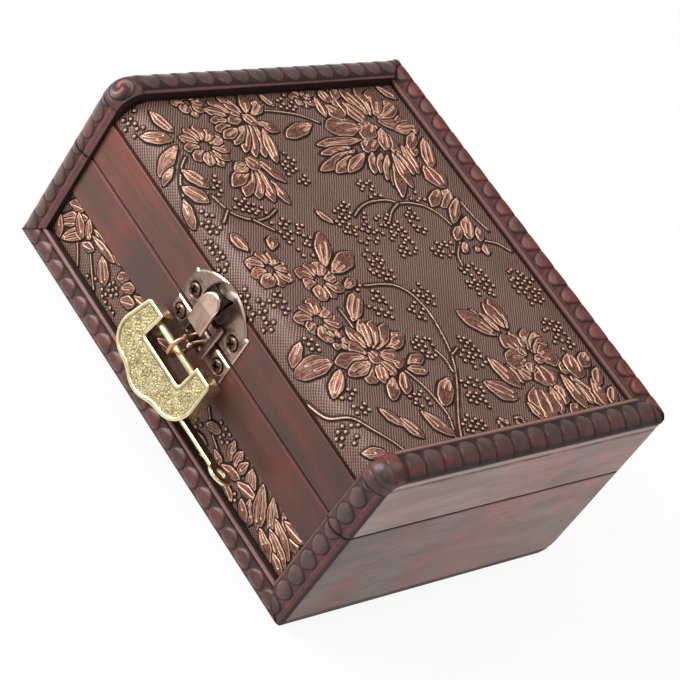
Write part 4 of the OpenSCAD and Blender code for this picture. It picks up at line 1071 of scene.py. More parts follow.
clusters = np.reshape([  # x from, to, s from, to
    -39, -27, 43, 49,  -16, -3, 26, 35,  -22, -15.5, 20, 26.5,  -25.5, -19.5, 16.5, 23,
    -61, -54, 1.5, 8,  -25, -16.5, 5, 10,  -17, -5, 1, 5,  6, 20.6, 38, 46,  27.7, 35.6, 44, 51,
    38, 48, 9, 15,  48, 54, 2, 9,  1.4, 17, 0.8, 6,  -27, -20, 65, 71.5,  -13.5, 1.8, 61, 70.5,
    -19.5, -5, 48, 60.5,  -14.5, -5.5, 74.5, 79,  -1.8, 3.8, 75, 86,  7, 19.5, 79, 88,
    11, 24.5, 96, 104.5,  29.6, 41.5, 95, 102.5,  -2, 9.5, 47.5, 55.5,  11, 19, 57.5, 63.5,
    17, 23, 51, 56.5,  30, 41, 58, 66,  43, 53.5, 50, 57.8,  54, 60.8, 40, 49,
    -60, -54, 57.5, 64.5,  -20, -15, 81, 87.5,  44, 50, 30.5, 36,  -33, -25, 13.5, 18.5,
    6.5, 13, 8, 12,  21, 27, 8.5, 13,
], (-1, 4))
frontPetals = np.reshape([
    -61.5, 12, -52, 23, 3.8,  -61, 20, -55, 24, 3,  -57, 9.4, -50, 21.5, 3.4,
    -61.5, 15.5, -57.5, 9, 3,  -56.5, 21.6, -50.5, 16.6, 3.2,  -52, 23.6, -48.4, 17.8, 2.8,
    -49.5, 22.4, -34, 23.4, 2.8,  -48.8, 20.4, -36.6, 22, 2.4,  -42, 19.4, -35.4, 13.8, 4.2,
    -50, 15.6, -45, 18.4, 2.6,  -33.8, 19.6, -30.2, 23.6, 3,  -30.8, 18.8, -26.4, 23, 3,
    -29, 15.8, -23.6, 19.6, 3.2,  -26, 21, -18, 23.4, 2.6,  -24, 12, -17, 16.4, 3.4,
    -14, 10.4, -6, 13.2, 3,  -12, 19.8, -4, 22.4, 3,  0, 12, 8, 16, 3.2,  4, 22.8, 12, 19, 3.2,
    12, 9.8, 20.4, 13.6, 3,  16, 17.4, 21.6, 20.6, 2.8,  22.6, 15, 28.6, 13.6, 2.6,
    26.4, 23.4, 28.8, 17, 2.8,  30.4, 23.6, 30.8, 17.4, 2.8,  33.8, 23, 32.6, 16.8, 2.6,
    27, 14, 35, 16.6, 2.8,  35.4, 22.8, 39.6, 16.2, 3.8,  34, 15, 42, 18, 3,  40.2, 16, 45, 10, 3.6,
    38, 13.6, 43.6, 9.6, 3,  41, 23.4, 47.6, 11.6, 4.2,  45.4, 23.8, 52, 14.6, 3.6,
    50, 23.4, 61.4, 19, 4.4,  49.4, 19.6, 60.8, 15.4, 3.6,  52, 21.8, 61.2, 23.6, 3.2,
    50, 16.2, 61.4, 12.6, 3.6,  47.6, 13.4, 57, 9.4, 3.4,  55, 12.4, 61.6, 9.8, 2.8,
    30.6, 11.6, 36.8, 9.6, 2.6,
], (-1, 5))
frontStems = [
    [(-56, 16.5), (-51, 14.0), (-47, 9.4)], [(-46, 16.6), (-42, 13.0), (-38, 9.6)],
    [(-20, 9.6), (-14, 15.4), (-8, 18.4)], [(14.0, 21.6), (19.4, 17.6), (25.6, 15.2)],
    [(20.0, 9.4), (26, 11.4), (32, 13.4)],
]
frontClusters = [(-45, -28, 9.2, 13.4), (-35.5, -30, 14.2, 18), (-14, 0, 14.4, 18.6),
                 (12, 17, 14, 17.6), (20, 27, 19, 23.6), (32, 37.5, 9.2, 13.0)]


# Petals of a round flower: from an inner to an outer circle, evenly round its centre
def roundFlower(cx, cs, count, r0, r1, width, first):
    angle = np.radians(first + 360.0 * np.arange(count) / count)
    reach = r1 * (1 + 0.10 * np.sin(3.1 * np.arange(count) + cx))
    return np.stack([cx + r0 * np.cos(angle), cs + r0 * np.sin(angle),
                     cx + reach * np.cos(angle), cs + reach * np.sin(angle),
                     np.full(count, width)], 1)


# Fills a smooth curve through given points (Catmull-Rom), eight steps to a span
def smoothLine(points):
    p = np.asarray(points, float)
    p = np.concatenate([[2 * p[0] - p[1]], p, [2 * p[-1] - p[-2]]])
    t = np.linspace(0, 1, 9)[:, None]
    return np.concatenate([
        b + 0.5 * t * (c - a + t * (2 * a - 5 * b + 4 * c - d + t * (3 * (b - c) + d - a)))
        for a, b, c, d in zip(p[:-3], p[1:-2], p[2:-1], p[3:])])


# Place t (0 to 1) along a straight line from start to start + step, and the distance to it
def toLine(x, s, start, step):
    t = clamped(((x - start[0]) * step[0] + (s - start[1]) * step[1])
                / np.maximum(step[0] ** 2 + step[1] ** 2, 1e-9))
    return t, np.hypot(x - start[0] - t * step[0], s - start[1] - t * step[1])


# A petal is as wide as a sine arch of its length, with its widest place towards the tip
def petalArch(t):
    return np.sin(math.pi * t ** 1.18) ** 0.62


# Embossing over a sheet: signed distance to the nearest drawn edge, height of the relief, and
# for each petal the place along and across it, for its streaks. Later motifs lie over earlier
def drawRelief(X, S, rows, lines, discs):
    gap, filled, lift = np.full(X.shape, 3.0), np.zeros(X.shape, bool), np.zeros(X.shape)
    flow = np.stack([X, S, 0 * X], -1)

    # Part of the grid between two corners and a little beyond
    def window(low, high, pad=1.6):
        return tuple(slice(*np.searchsorted(axis, (a - pad, b + pad)))
                     for axis, a, b in ((S[:, 0], low[1], high[1]), (X[0], low[0], high[0])))

    # Lays a motif of signed distance d: its height replaces what is below it
    def lay(w, d, own):
        gap[w] = np.where(d < 0, -d, np.minimum(gap[w], np.maximum(d, 0)))
        filled[w] |= d < 0
        lift[w] = np.where(d < 0, own, lift[w])

    for line in lines:
        p = smoothLine(line)
        w = window(p.min(0), p.max(0))
        d = np.min([toLine(X[w], S[w], a, b - a)[1] for a, b in zip(p[:-1], p[1:])], 0)
        lay(w, np.minimum(d, 9.0) - 0.5, 0.75)
    for k, (x0, s0, x1, s1, width) in enumerate(rows):
        length = math.hypot(x1 - x0, s1 - s0)
        dx, ds = (x1 - x0) / length, (s1 - s0) / length
        w = window((min(x0, x1) - width, min(s0, s1) - width),
                   (max(x0, x1) + width, max(s0, s1) + width))
        x, s = X[w] - x0, S[w] - s0
        a = (x * dx + s * ds) / length
        b = x * ds - s * dx + 0.05 * width * np.sin(a * 3.0 + k)
        t = clamped(a)
        half = sheetForm["full"] * width / 2 * petalArch(t) * (1 + 0.05 * np.sin(t * 14 + k * 2.1))
        past = np.maximum(np.maximum(-a, a - 1), 0) * length
        d = np.where(past > 0, np.hypot(past, b), (np.abs(b) - half) * 0.92)
        crease = np.full(x.shape, 9.0)
        for f in [0.0] if width < 3.3 else [-0.36, 0.3]:      # one fold, or two in a wide petal
            reach = clamped(np.maximum(0.16 - t, t - (0.62 + 0.2 * math.sin(k * 1.7 + f))))
            crease = np.minimum(crease, np.hypot(b - f * half, reach * length))
        crown = 0.78 + 0.22 * np.sin(math.pi * t) + 0.10 * np.sin(k * 2.4)
        lay(w, d, crown - 0.55 * bell(crease, 0.26))
        gap[w] = np.where(d < 0, np.minimum(gap[w], crease + 0.10), gap[w])
        own = np.stack([a * length, b, np.full(x.shape, 3.7 * k)], -1)
        flow[w] = np.where(d[..., None] < 0, own, flow[w])
    for spot in discs:
        w = window(spot, spot)
        lay(w, np.hypot(X[w] - spot[0], S[w] - spot[1]) - sheetForm["berryR"] * 0.95, 0.0)
    height = np.where(filled, sheetForm["rise"] * lift * (1 - np.exp(-gap / 0.34)) + 0.02,
                      -sheetForm["groove"] * bell(gap, 0.4))
    return np.where(filled, -gap, gap), height, flow


# Berries: a jittered triangular lattice inside ovals, kept clear of the motifs and of each other
def scatterBerries(areas, rows, lines, limits):
    draw = np.random.default_rng(sheetForm["seed"])
    pitch, jitter, found = sheetForm["berryPitch"], sheetForm["berryJitter"], []
    drawn = np.concatenate([smoothLine(line) for line in lines])
    base, step, width = rows[:, :2].T, (rows[:, 2:4] - rows[:, :2]).T, rows[:, 4]
    for x0, x1, s0, s1 in areas:
        ss = np.arange(s0, s1, pitch * 0.87)
        X, S = np.meshgrid(np.arange(x0, x1, pitch), ss)
        X = X + (np.arange(len(ss)) % 2)[:, None] * pitch / 2
        X = X + draw.uniform(-jitter, jitter, X.shape)
        S = S + draw.uniform(-jitter, jitter, X.shape)
        oval = ((X - (x0 + x1) / 2) / ((x1 - x0) / 2 + 0.3)) ** 2 \
            + ((S - (s0 + s1) / 2) / ((s1 - s0) / 2 + 0.3)) ** 2
        keep = (oval < 1.15) & (draw.random(X.shape) > 0.2)
        for x, s in zip(X[keep], S[keep]):
            inside = limits[0] + 1 < x < limits[1] - 1 and limits[2] + 1 < s < limits[3] - 1
            t, off = toLine(x, s, base, step)
            onPetal = (off < width * 0.65 * petalArch(t) + 0.75).any()
            onStem = (np.hypot(drawn[:, 0] - x, drawn[:, 1] - s) < 1.1).any()
            if inside and not onPetal and not onStem \
                    and all((x - a) ** 2 + (s - b) ** 2 >= 1.7 for a, b in found):
                found.append((x, s))
    return np.array(found)


# Low round domes, three rings and a top each, standing on the sheet at the given points
def berryShells(found, surface):
    n, r, rise = len(found), sheetForm["berryR"], sheetForm["berryRise"]
    k = np.arange(8)
    angle = k * math.pi / 4
    rings = [(1.0, -0.30), (0.98, 0.35), (0.62, 0.85)]        # share of the radius and of the rise
    X = [found[:, :1] + r * share * np.cos(angle) for share, _ in rings] + [found[:, :1]]
    S = [found[:, 1:] + r * share * np.sin(angle) for share, _ in rings] + [found[:, 1:]]
    H = [np.full((n, 8), level * rise) for _, level in rings] + [np.full((n, 1), rise)]
    points = surface(*(np.concatenate(p, 1) for p in (X, S, H))).reshape(-1, 3)
    start = np.arange(n)[:, None] * 25
    after = (k + 1) % 8
    quads = np.concatenate([start[:, :, None] + np.stack([at + k, at + after, at + 8 + after,
                                                          at + 8 + k], 1)
                            for at in (0, 8)], 1).reshape(-1, 4)
    tris = start[:, :, None] + np.stack([16 + k, 16 + after, np.full(8, 24)], 1)
    # painted shade: the ring at each berry's foot falls in the dark outline
    edge = np.tile(np.repeat([0.02, -0.5], [8, 17]), n)
    return points, [quads, tris.reshape(-1, 3), start + k[::-1]], {"edge": edge}


# Embossed sheet as a closed shell: the relief above, a thin even thickness below
def embossedSheet(name, limits, step, rows, lines, areas, surface, body, node):
    x0, x1, s0, s1 = limits
    X, S = np.meshgrid(np.linspace(x0, x1, int((x1 - x0) / step) + 1),
                       np.linspace(s0, s1, int((s1 - s0) / step) + 1))
    found = scatterBerries(areas, rows, lines, limits)
    signed, height, flow = drawRelief(X, S, rows, lines, found)
    inset = np.minimum(np.minimum(X - x0, x1 - X), np.minimum(S - s0, s1 - S))
    height = height * clamped(inset / 0.6) - 0.12
    signed = np.where(inset < 0.45, 0.15, signed)      # dark line where the sheet is tucked in

    # One more column at each side, a copy or a value, for the underside
    def pad(a, value=None):
        if value is None:
            return np.concatenate([a[:, :1], a, a[:, -1:]], 1)
        return np.pad(a, ((0, 0), (1, 1)), constant_values=value)

    ringX, ringS = pad(X), pad(S)
    shell = loft(surface(ringX, ringS, pad(height, -sheetForm["thick"])),
                 masks={"edge": pad(signed, 2.0)})
    berries = berryShells(found, surface)
    sheet = np.stack([ringX, ringS, 0 * ringX], -1).reshape(-1, 3)
    rest = np.random.default_rng(3).uniform(0, 40, (len(found), 3)).repeat(25, 0)
    vectors = {"sheet": np.concatenate([sheet, rest]),
               "flow": np.concatenate([pad(flow).reshape(-1, 3), rest])}
    addPiece(name, [shell, berries], leather, body, [node], 70.0, vectors)


# Top leather: s climbs the quarter circle of the nose, then runs back along the flat top
def coverSurface(x, s, h):
    r = sheetForm["noseR"]
    turn = np.minimum(s / r, math.pi / 2)
    past = np.maximum(s - r * math.pi / 2, 0)
    return np.stack([x, sheetForm["noseY"] - (r + h) * np.cos(turn) + past,
                     sheetForm["noseZ"] + (r + h) * np.sin(turn)], -1)


coverEnd = sheetForm["noseR"] * math.pi / 2 + box["fieldBackY"] - sheetForm["noseY"]
embossedSheet("topLeather", (-box["fieldX"], box["fieldX"], 0.0, coverEnd), sheetForm["step"],
              np.concatenate([petals] + [roundFlower(*f) for f in flowers]), stems, clusters,
              coverSurface, "lid", "top_leather_cover")
embossedSheet("frontLeather", (-box["fieldX"], box["fieldX"], box["bottomTop"], box["railLow"]),
              sheetForm["frontStep"], frontPetals, frontStems, frontClusters,
              lambda x, s, h: np.stack([x, sheetForm["frontY"] - h, s], -1), "base",
              "front_leather_panel")
print("stage: leather")


# Hasp: plates, screws, pins and ring; z is up and x to the right
hasp = {
    "plane": -53.8, "thick": 0.8, "half": 13.0, "low": 38.0, "side": 47.2, "top": 53.2,
    "arch": 14.83, "archHalf": 11.92, "domeZ": 47.6, "domeR": 5.7, "domeLow": 43.38,
    "slot": 3.6, "slotTop": 2.82, "slotSquare": 8.7, "slotDeep": 2.3, "bevel": 0.45,
    "pivotY": -56.1, "pivotZ": 49.2, "lowerZ": (30.6, 36.8), "cell": 0.2,
    "upperScrews": (9.4, 42.4), "lowerScrews": (9.6, 33.7), "headR": 1.95, "headH": 0.65,
    "stapleY": -56.909, "stapleZ": 32.891, "lugR": 1.2, "lugThick": 0.9, "lugX": (-1.8, 0.9),
    "ringY": -58.5, "ringZ": 31.3, "ringR": 3.65, "wire": 0.65,
    "tonguePin": (4.27, 0.45, 0.1), "staplePin": (1.95, 0.6, 0.2),      # half length, radius, soft
}
tongue = {  # seen from the pivot
    "half": 3.3, "tipZ": -1.3, "low": -10.3, "foldZ": -2.6, "y": -3.1, "lean": 0.27,
    "settle": 0.0357, "thick": 1.1, "frameHalf": 5.8, "slotHalf": 3.75, "slitHalf": 2.3,
    "frameTop": -6.02, "frameLow": -17.2, "frameY": 1.1, "frameThick": 0.9,
    "knuckleR": 2.7, "knuckleFlat": 1.45,
}
pivot = (0, hasp["pivotY"], hasp["pivotZ"])


# The larger of two heights, with a soft joint between them
def smoothMax(a, b, soft):
    return 0.5 * (a + b + np.sqrt((a - b) ** 2 + soft ** 2))


# Share of a bevel: one on the outline, none deeper inside than its width
def bevel(d, width):
    return clamped((d + width) / width)


# Ring-shaped dip round each screw, as deep as a countersunk hole's shadow line
def screwDip(x, z, spot):
    r = np.hypot(np.abs(x) - spot[0], z - spot[1])
    return 0.4 * bell(r - 2.12, 0.2) + 0.4 * (r < 2.0)


# Painted shade in the dip round each screw
def dipShade(x, z, spot):
    return clamped(screwDip(x, z, spot) * 2.4)


# Upper plate: a box with an arch on top
def upperPlate():
    h = hasp

    def outline(x, z):
        straight = boxAt(x, z, -h["half"], h["half"], h["low"], h["side"], 0.15)
        arch = np.maximum(np.hypot(x, z - (h["top"] - h["arch"])) - h["arch"],
                          boxAt(x, z, -h["archHalf"], h["archHalf"], h["low"], h["top"] + 1))
        return np.minimum(straight, arch)

    # Dome of a sphere sunk a little in the plate, open below, with a slot for the tongue
    def face(x, z, d):
        inSlot = np.abs(x) < h["slot"]
        r2 = x ** 2 + (z - h["domeZ"]) ** 2
        dome = np.sqrt(np.maximum(h["domeR"] ** 2 - r2, 0)) - 0.3
        dome = np.where(z > h["domeLow"], dome, 0)
        above = z - h["pivotZ"]
        reach = np.sqrt(np.maximum(h["slotSquare"] - above ** 2, 0)) - h["slotDeep"]
        hollow = np.where(above > h["slotTop"], 9, np.maximum(-reach, 0))
        hollow = np.where(above < 0, 0, hollow)
        dome = np.where(inSlot, np.minimum(dome, hollow), dome)
        bulge = smoothMax(dome, 0 * x, 0.12) - 0.06
        return h["bevel"] * bevel(d, h["bevel"]) - bulge \
            + screwDip(x, z, h["upperScrews"]) * (bulge < 0.2) \
            + np.clip(reach, 0, 0.65) * inSlot * (z > h["domeLow"])

    def dark(x, z, d):
        # painted shade over the dome and in the dips round the screws
        r = np.hypot(x, z - h["domeZ"])
        domeShade = clamped((5.9 - r) / 1.3) * (z > h["domeLow"]) * 0.88
        return clamped(dipShade(x, z, h["upperScrews"]) + domeShade)

    edges = np.array([3.56, 3.66, 11.89, 11.95])          # extra columns at the slot and the arch
    return slab(outline, merged(spaced(-h["half"], h["half"], h["cell"], 0.3), edges, -edges),
                merged(spaced(h["low"], h["top"], h["cell"], 0.3),
                       [h["domeLow"] - 0.04, h["domeLow"] + 0.04]),
                face, h["thick"], faceForwards(h["plane"]), {"dark": dark})


# Lug of the staple, seen from the side: a round eye that runs back into the plate
def lug(x0):
    y, z, r, thick = hasp["stapleY"], hasp["stapleZ"], hasp["lugR"], hasp["lugThick"]
    return slab(lambda a, b: np.minimum(np.hypot(a - y, b - z) - r,
                                        boxAt(a, b, y, hasp["plane"] + 0.4, z - r, z + r)),
                np.arange(-58.2, -53.3, 0.16), np.arange(31.6, 34.2, 0.16),
                lambda a, b, d: roundOff(d, 0.2), lambda a, b, d: thick - roundOff(d, 0.2),
                lambda p: np.stack([x0 + thick - p[:, 1], p[:, 0], p[:, 2]], 1))


# Lower plate: a box with two screws, and the two lugs of the staple
def lowerPlate():
    z0, z1 = hasp["lowerZ"]
    half, spot, deep = hasp["half"], hasp["lowerScrews"], hasp["bevel"]
    flat = slab(lambda x, z: boxAt(x, z, -half, half, z0, z1, 0.15),
                spaced(-half, half, hasp["cell"], 0.3), spaced(z0, z1, hasp["cell"], 0.3),
                lambda x, z, d: deep * bevel(d, deep) + screwDip(x, z, spot), hasp["thick"],
                faceForwards(hasp["plane"]), {"dark": lambda x, z, d: dipShade(x, z, spot)})
    return [flat] + [lug(x) for x in hasp["lugX"]]


# Pan head with a cross recess, drawn flat: head radius and height, then put in place
def screwHead(r, rise, place, turn=0.0):
    c, s = math.cos(turn), math.sin(turn)
    slotW, slotL = r * 0.17, r * 0.62

    # Signed distance to the cross
    def cross(x, z):
        a, b = np.abs(c * x + s * z), np.abs(c * z - s * x)
        return np.minimum(np.maximum(a - slotL, b - slotW), np.maximum(b - slotL, a - slotW))

    def face(x, z, d):
        dome = rise * (1 - 0.55 * (np.hypot(x, z) / r) ** 4)
        return -dome + roundOff(d, r * 0.22) + rise * 0.62 * clamped(-cross(x, z) / 0.08)

    grid = spaced(-r, r, r / 15, r * 0.22)
    # painted shade in the cross recess
    return slab(lambda x, z: np.hypot(x, z) - r * 0.999, grid, grid, face, 0.02, place,
                {"dark": lambda x, z, d: clamped(-cross(x, z) / 0.06 + 0.4)})


# Screw heads left and right of the middle of the hasp
def headsAt(spot, turns):
    return [screwHead(hasp["headR"], hasp["headH"],
                      lambda p, s=s: p + (s * spot[0], hasp["plane"], spot[1]), t)
            for s, t in zip((-1, 1), turns)]


# Thumb piece of the tongue: a plate with a round tip and bevelled edges, folded below the pivot, with
# painted shade on the facet below the fold
def thumbShell():
    half, tip, low, fold = (tongue[key] for key in ("half", "tipZ", "low", "foldZ"))

    def depth(x, z):
        return tongue["y"] + np.where(z > fold, tongue["lean"] * (z - fold),
                                      tongue["settle"] * (fold - z))

    return slab(lambda x, z: np.where(z > tip, np.hypot(x, z - tip) - half,
                                      boxAt(x, z, -half, half, low, 0, 0.12)),
                spaced(-half, half, 0.17, 0.3),
                merged(spaced(low, half + tip, 0.17, 0.3), [fold - 0.02, fold, fold + 0.02]),
                lambda x, z, d: depth(x, z) + 0.3 * bevel(d, 0.4) ** 1.5,
                lambda x, z, d: depth(x, z) + tongue["thick"], lambda p: p + pivot,
                {"worn": lambda x, z, d: 0.8 * (z < fold)})


# Frame that hangs behind the thumb piece: two arms, a shoulder, the stubs of the slit lower bar
# and a web up to the pivot, leaning back below its top, with painted shade over it
def frameShell():
    half, top, low = tongue["frameHalf"], tongue["frameTop"], tongue["frameLow"]

    def outline(x, z):
        a = np.abs(x)
        parts = [boxAt(a, z, tongue["slotHalf"], half, low, top, 0.3),
                 boxAt(x, z, -half, half, top - 1.44, top, 0.3),
                 boxAt(a, z, tongue["slitHalf"], half, low, low + 1.54, 0.3),
                 boxAt(x, z, -tongue["half"], tongue["half"], top - 2.05, -0.3, 0.05)]
        return np.min(parts, 0)

    def depth(x, z):
        return tongue["frameY"] - np.where(z > top, 2.45 * (z - top) / -top,
                                           0.81 * (top - z) / (top - low))

    # painted shade: most on the web and shoulder, less on the left arm, least on the right arm
    def shade(x, z, d):
        return np.where(np.abs(x) < 3.9, 0.85, np.where(x < 0, 0.6, 0.15))

    return slab(outline, spaced(-half, half, 0.19, 0.25), spaced(low, -0.3, 0.19, 0.25),
                lambda x, z, d: depth(x, z) + 0.25 * bevel(d, 0.35),
                lambda x, z, d: depth(x, z) + tongue["frameThick"] - roundOff(d, 0.12),
                lambda p: p + pivot, {"dark": shade})


# Knuckle: a round bar about the pin, flat behind the thumb, that fills the dome's slot, darkened all
# over with painted shade
def knuckleShell():
    angle = np.linspace(0, 2 * math.pi, 49)[:-1]
    towards = tongue["lean"] * np.sin(angle) - np.cos(angle)
    reach = np.minimum(tongue["knuckleR"], tongue["knuckleFlat"] / np.maximum(towards, 0.01))
    across = np.array([-3.2, -3.1, -2.95, 2.95, 3.1, 3.2])
    grow = np.array([0.92, 0.975, 1.0, 1.0, 0.975, 0.92])[:, None] * reach
    rings = np.stack([np.broadcast_to(across[:, None], grow.shape), grow * np.cos(angle),
                      grow * np.sin(angle)], -1) + pivot
    return loft(rings, masks={"dark": np.full(grow.shape, 0.85)})


# Ring of round wire, with painted shade on its back half, where its upper part goes through the staple
def ringShell():
    turn = np.linspace(0, 2 * math.pi, 73)[:-1, None]
    around = np.linspace(0, 2 * math.pi, 21)[None, :-1]
    reach = hasp["ringR"] + hasp["wire"] * np.cos(around)
    rings = np.stack([hasp["wire"] * np.sin(around) + 0 * turn,
                      hasp["ringY"] + reach * np.cos(turn),
                      hasp["ringZ"] + reach * np.sin(turn)], -1)
    shade = np.clip((np.cos(turn) - 0.1) / 0.5, 0, 0.85) + 0 * around
    return loft(rings, closed=True, masks={"dark": shade})


# Pin of the hasp along x, as long as its row says
def pin(name, centre):
    half, r, soft = hasp[name]
    return rod(-half, half, centre, r, soft)


for level, body, plate in (("upper", "lid", upperPlate()), ("lower", "base", lowerPlate())):
    addPiece(f"{level}Plate", plate, bronze, body, [f"{level}_hasp_plate"], 30)
for level, body, turns in (("upper", "lid", (0.3, 0.9)), ("lower", "base", (0.1, 0.6))):
    addPiece(f"{level}Screws", headsAt(hasp[f"{level}Screws"], turns), screwMetal, body,
             [f"{level}_hasp_screws"], 30)
addPiece("tongueThumb", thumbShell(), copperWorn, "tongue", ["hasp_tongue"], 30)
addPiece("tongueFrame", [frameShell(), knuckleShell()], shadedFrameMetal, "tongue",
         ["hasp_tongue"], 30)
addPiece("tonguePin", pin("tonguePin", pivot), shadedPinMetal, "lid", ["tongue_pin"])
addPiece("staplePin", pin("staplePin", (0, hasp["stapleY"], hasp["stapleZ"])), shadedPinMetal, "base",
         ["staple_pin"])
addPiece("wireRing", ringShell(), copper, "ring", ["lock_ring"])
print("stage: hasp")


# Padlock, drawn upright from the middle of the window's lower edge, then hung and tilted
lock = {
    "thick": 5.4, "wall": 0.7, "rimW": 0.9, "rimH": 0.35, "window": 8.8, "windowH": 6.2,
    "windowR": 0.9, "lobeR": 7.5, "lobeX": 9.5, "lobeZ": -1.5, "middleR": 9.0, "middleZ": -2.6,
    "earTop": 7.45, "endX": 14.93, "tunnelZ": -4.95, "barY": 2.5, "barZ": 4.5, "barR": 1.1,
    "tilt": 19.0, "hangY": -58.717, "hangZ": 29.7, "cell": 0.19, "backCell": 0.25,
    "outerX": 17.0, "lowZ": -11.7, "highZ": 7.5, "blend": 3.6, "earX": 16.1, "earInner": 8.0,
    "barX": (-15.58, 10.22), "plate": ((-16.03, 0.9, -5.45), (-15.13, 4.5, 5.1)),
    "stem": ((-15.58, 2.2, -5.45), (4.265, 3.2, -4.45)),
}
key = {"tip": 4.465, "length": 33.5, "half": 1.9, "headR": 3.8, "holeR": 1.4, "thick": 1.0, "y": 2.7}


# From the padlock's upright frame, by a turn about its bar, to its place on the ring
def hang(p):
    a = -math.radians(lock["tilt"])
    y, z = p[:, 1] - lock["barY"], p[:, 2] - lock["barZ"]
    return np.stack([p[:, 0], y * math.cos(a) - z * math.sin(a) + lock["hangY"],
                     y * math.sin(a) + z * math.cos(a) + lock["hangZ"]], 1)


# Cloud outline: a middle lobe, two side lobes and two ears, softly joined, less the window
def cloud(x, z):
    a = np.abs(x)
    middle = np.hypot(x, z - lock["middleZ"]) - lock["middleR"]
    side = np.hypot(a - lock["lobeX"], z - lock["lobeZ"]) - lock["lobeR"]
    lean = (a - lock["earX"]) * 0.985 + (z - 4.2) * 0.17
    high = z - lock["earTop"]
    crown = np.hypot(np.maximum(lean + 1.1, 0), np.maximum(high + 1.1, 0)) \
        + np.minimum(np.maximum(lean, high) + 1.1, 0) - 1.1
    ear = np.maximum(crown, np.maximum(lock["earInner"] - a, -1.5 - z))
    blend = lock["blend"]
    h = clamped(0.5 + 0.5 * (side - middle) / blend)
    lobes = side * (1 - h) + middle * h - blend * h * (1 - h)
    window = boxAt(x, z, -lock["window"], lock["window"], 0, 20, lock["windowR"])
    return np.maximum(np.minimum(lobes, ear), -window)


# Fine scrolls and dots that stand for the worn engraving, from -1 to 1
def tooling(x, z):
    bend = np.sin(1.9 * z + 0.7 * x) + 0.6 * np.sin(1.1 * x - 2.3 * z)
    other = np.sin(1.8 * x - 0.4 * z) + 0.6 * np.sin(2.2 * x + 1.3 * z)
    net = np.abs(np.sin(2.7 * x + 1.5 * bend) * np.sin(2.5 * z + 1.6 * other))
    lines = bell(net, 0.42)
    dots = np.sin(8.1 * x + 1.2 * np.sin(2.4 * z)) * np.sin(7.6 * z + 1.3 * np.sin(2.1 * x))
    return 0.5 - 1.1 * lines * (0.7 + 0.3 * np.sin(0.9 * x + 1.7 * z)) + 0.25 * dots


# Face: half-round rim along every edge, and a sunk field with the fine tooling
def lockFace(x, z, d):
    rim = clamped(1 - ((-d - 0.56) / 0.6) ** 2) ** 0.5
    inside = clamped((-d - 1.25) / 0.25)
    return lock["rimH"] * (1 - rim) - 0.09 * inside * tooling(x, z)


# Padlock body: front wall, core and back wall; the masks are painted shade along the line round
# the field, in the tooling and on the wall of the window, and the field itself
def lockShells():
    right, low, high = lock["outerX"], lock["lowZ"], lock["highZ"]
    wall, thick, end = lock["wall"], lock["thick"], lock["endX"]
    tunnel, tunnelTop = lock["tunnelZ"] - 1.1, lock["windowH"] - lock["rimW"]
    coarse = spaced(-right, right, lock["backCell"]), spaced(low, high, lock["backCell"])

    # painted shade in the step between the rim and the field
    def fieldLineShade(x, z, d):
        return 0.75 * bell(-d - 1.22, 0.15)

    # painted shade in the lines of the tooling
    def toolShade(x, z, d):
        return clamped((-d - 1.2) / 0.2) * clamped(0.45 - 1.3 * tooling(x, z))

    # painted shade on the window's inner wall
    def windowWallShade(x, z, d):
        return 0.85 * ((np.abs(x) < lock["window"] + 0.15) & (z > -0.15))

    # Core between the walls: the left end is open for the end plate, the right for the key
    def core(x, z):
        mouth = np.minimum(boxAt(x, z, -20, -end, tunnel, tunnelTop),
                           boxAt(x, z, end, 20, tunnel, tunnel + 2.2))
        return np.maximum(cloud(x, z), -mouth)

    front = slab(cloud, spaced(-right, right, lock["cell"]), spaced(low, high, lock["cell"]),
                 lockFace, wall, hang,
                 {"dark": fieldLineShade, "worn": toolShade,
                  "field": lambda x, z, d: clamped((-d - 1.3) / 0.15)})
    middle = slab(core, *coarse, wall - 0.02, thick - wall + 0.02, hang, {"dark": windowWallShade})
    rear = slab(cloud, *coarse, thick - wall, lambda x, z, d: thick - roundOff(d, 0.3), hang)
    return [front, middle, rear]


# Block with softened edges between two corners, in the padlock's upright frame
def softBlock(a, b, r, cell=0.5):
    return slab(lambda x, z: boxAt(x, z, a[0], b[0], a[2], b[2], r * 0.8),
                spaced(a[0], b[0], cell, r), spaced(a[2], b[2], cell, r),
                lambda x, z, d: a[1] + roundOff(d, r), lambda x, z, d: b[1] - roundOff(d, r),
                hang)


# Shackle in one piece: round bar over the window, end plate and flat stem
def shackleShells():
    points, faces, masks = rod(*lock["barX"], (0, lock["barY"], lock["barZ"]), lock["barR"], 0.2)
    return [(hang(points), faces, masks), softBlock(*lock["plate"], 0.2),
            softBlock(*lock["stem"], 0.1)]


# Key: a flat blade that ends in a round head with a hole, lying on its side in the padlock
def keyShell():
    tip, half, headR, thick = key["tip"], key["half"], key["headR"], key["thick"]
    end = tip + key["length"]
    headX = end - headR

    def outline(x, y):
        r = np.hypot(x - headX, y)
        blade = boxAt(x, y, tip, headX, -half, half, 0.2)
        return np.maximum(np.minimum(blade, r - headR), key["holeR"] - r)

    def place(p):
        return hang(np.stack([p[:, 0], key["y"] - p[:, 2], lock["tunnelZ"] + 0.5 - p[:, 1]], 1))

    return slab(outline, spaced(tip, end, 0.22), spaced(-headR, headR, 0.2),
                lambda x, y, d: roundOff(d, 0.25), lambda x, y, d: thick - roundOff(d, 0.25), place)


for name, shells, metal in (("padlock", lockShells(), brass), ("shackle", shackleShells(), brass),
                            ("key", keyShell(), keyBrass)):
    node = "padlock_body" if name == "padlock" else f"padlock_{name}"
    addPiece(name, shells, metal, name, [node], 32)
repaint("shackle_springs", steel)
print("stage: padlock")


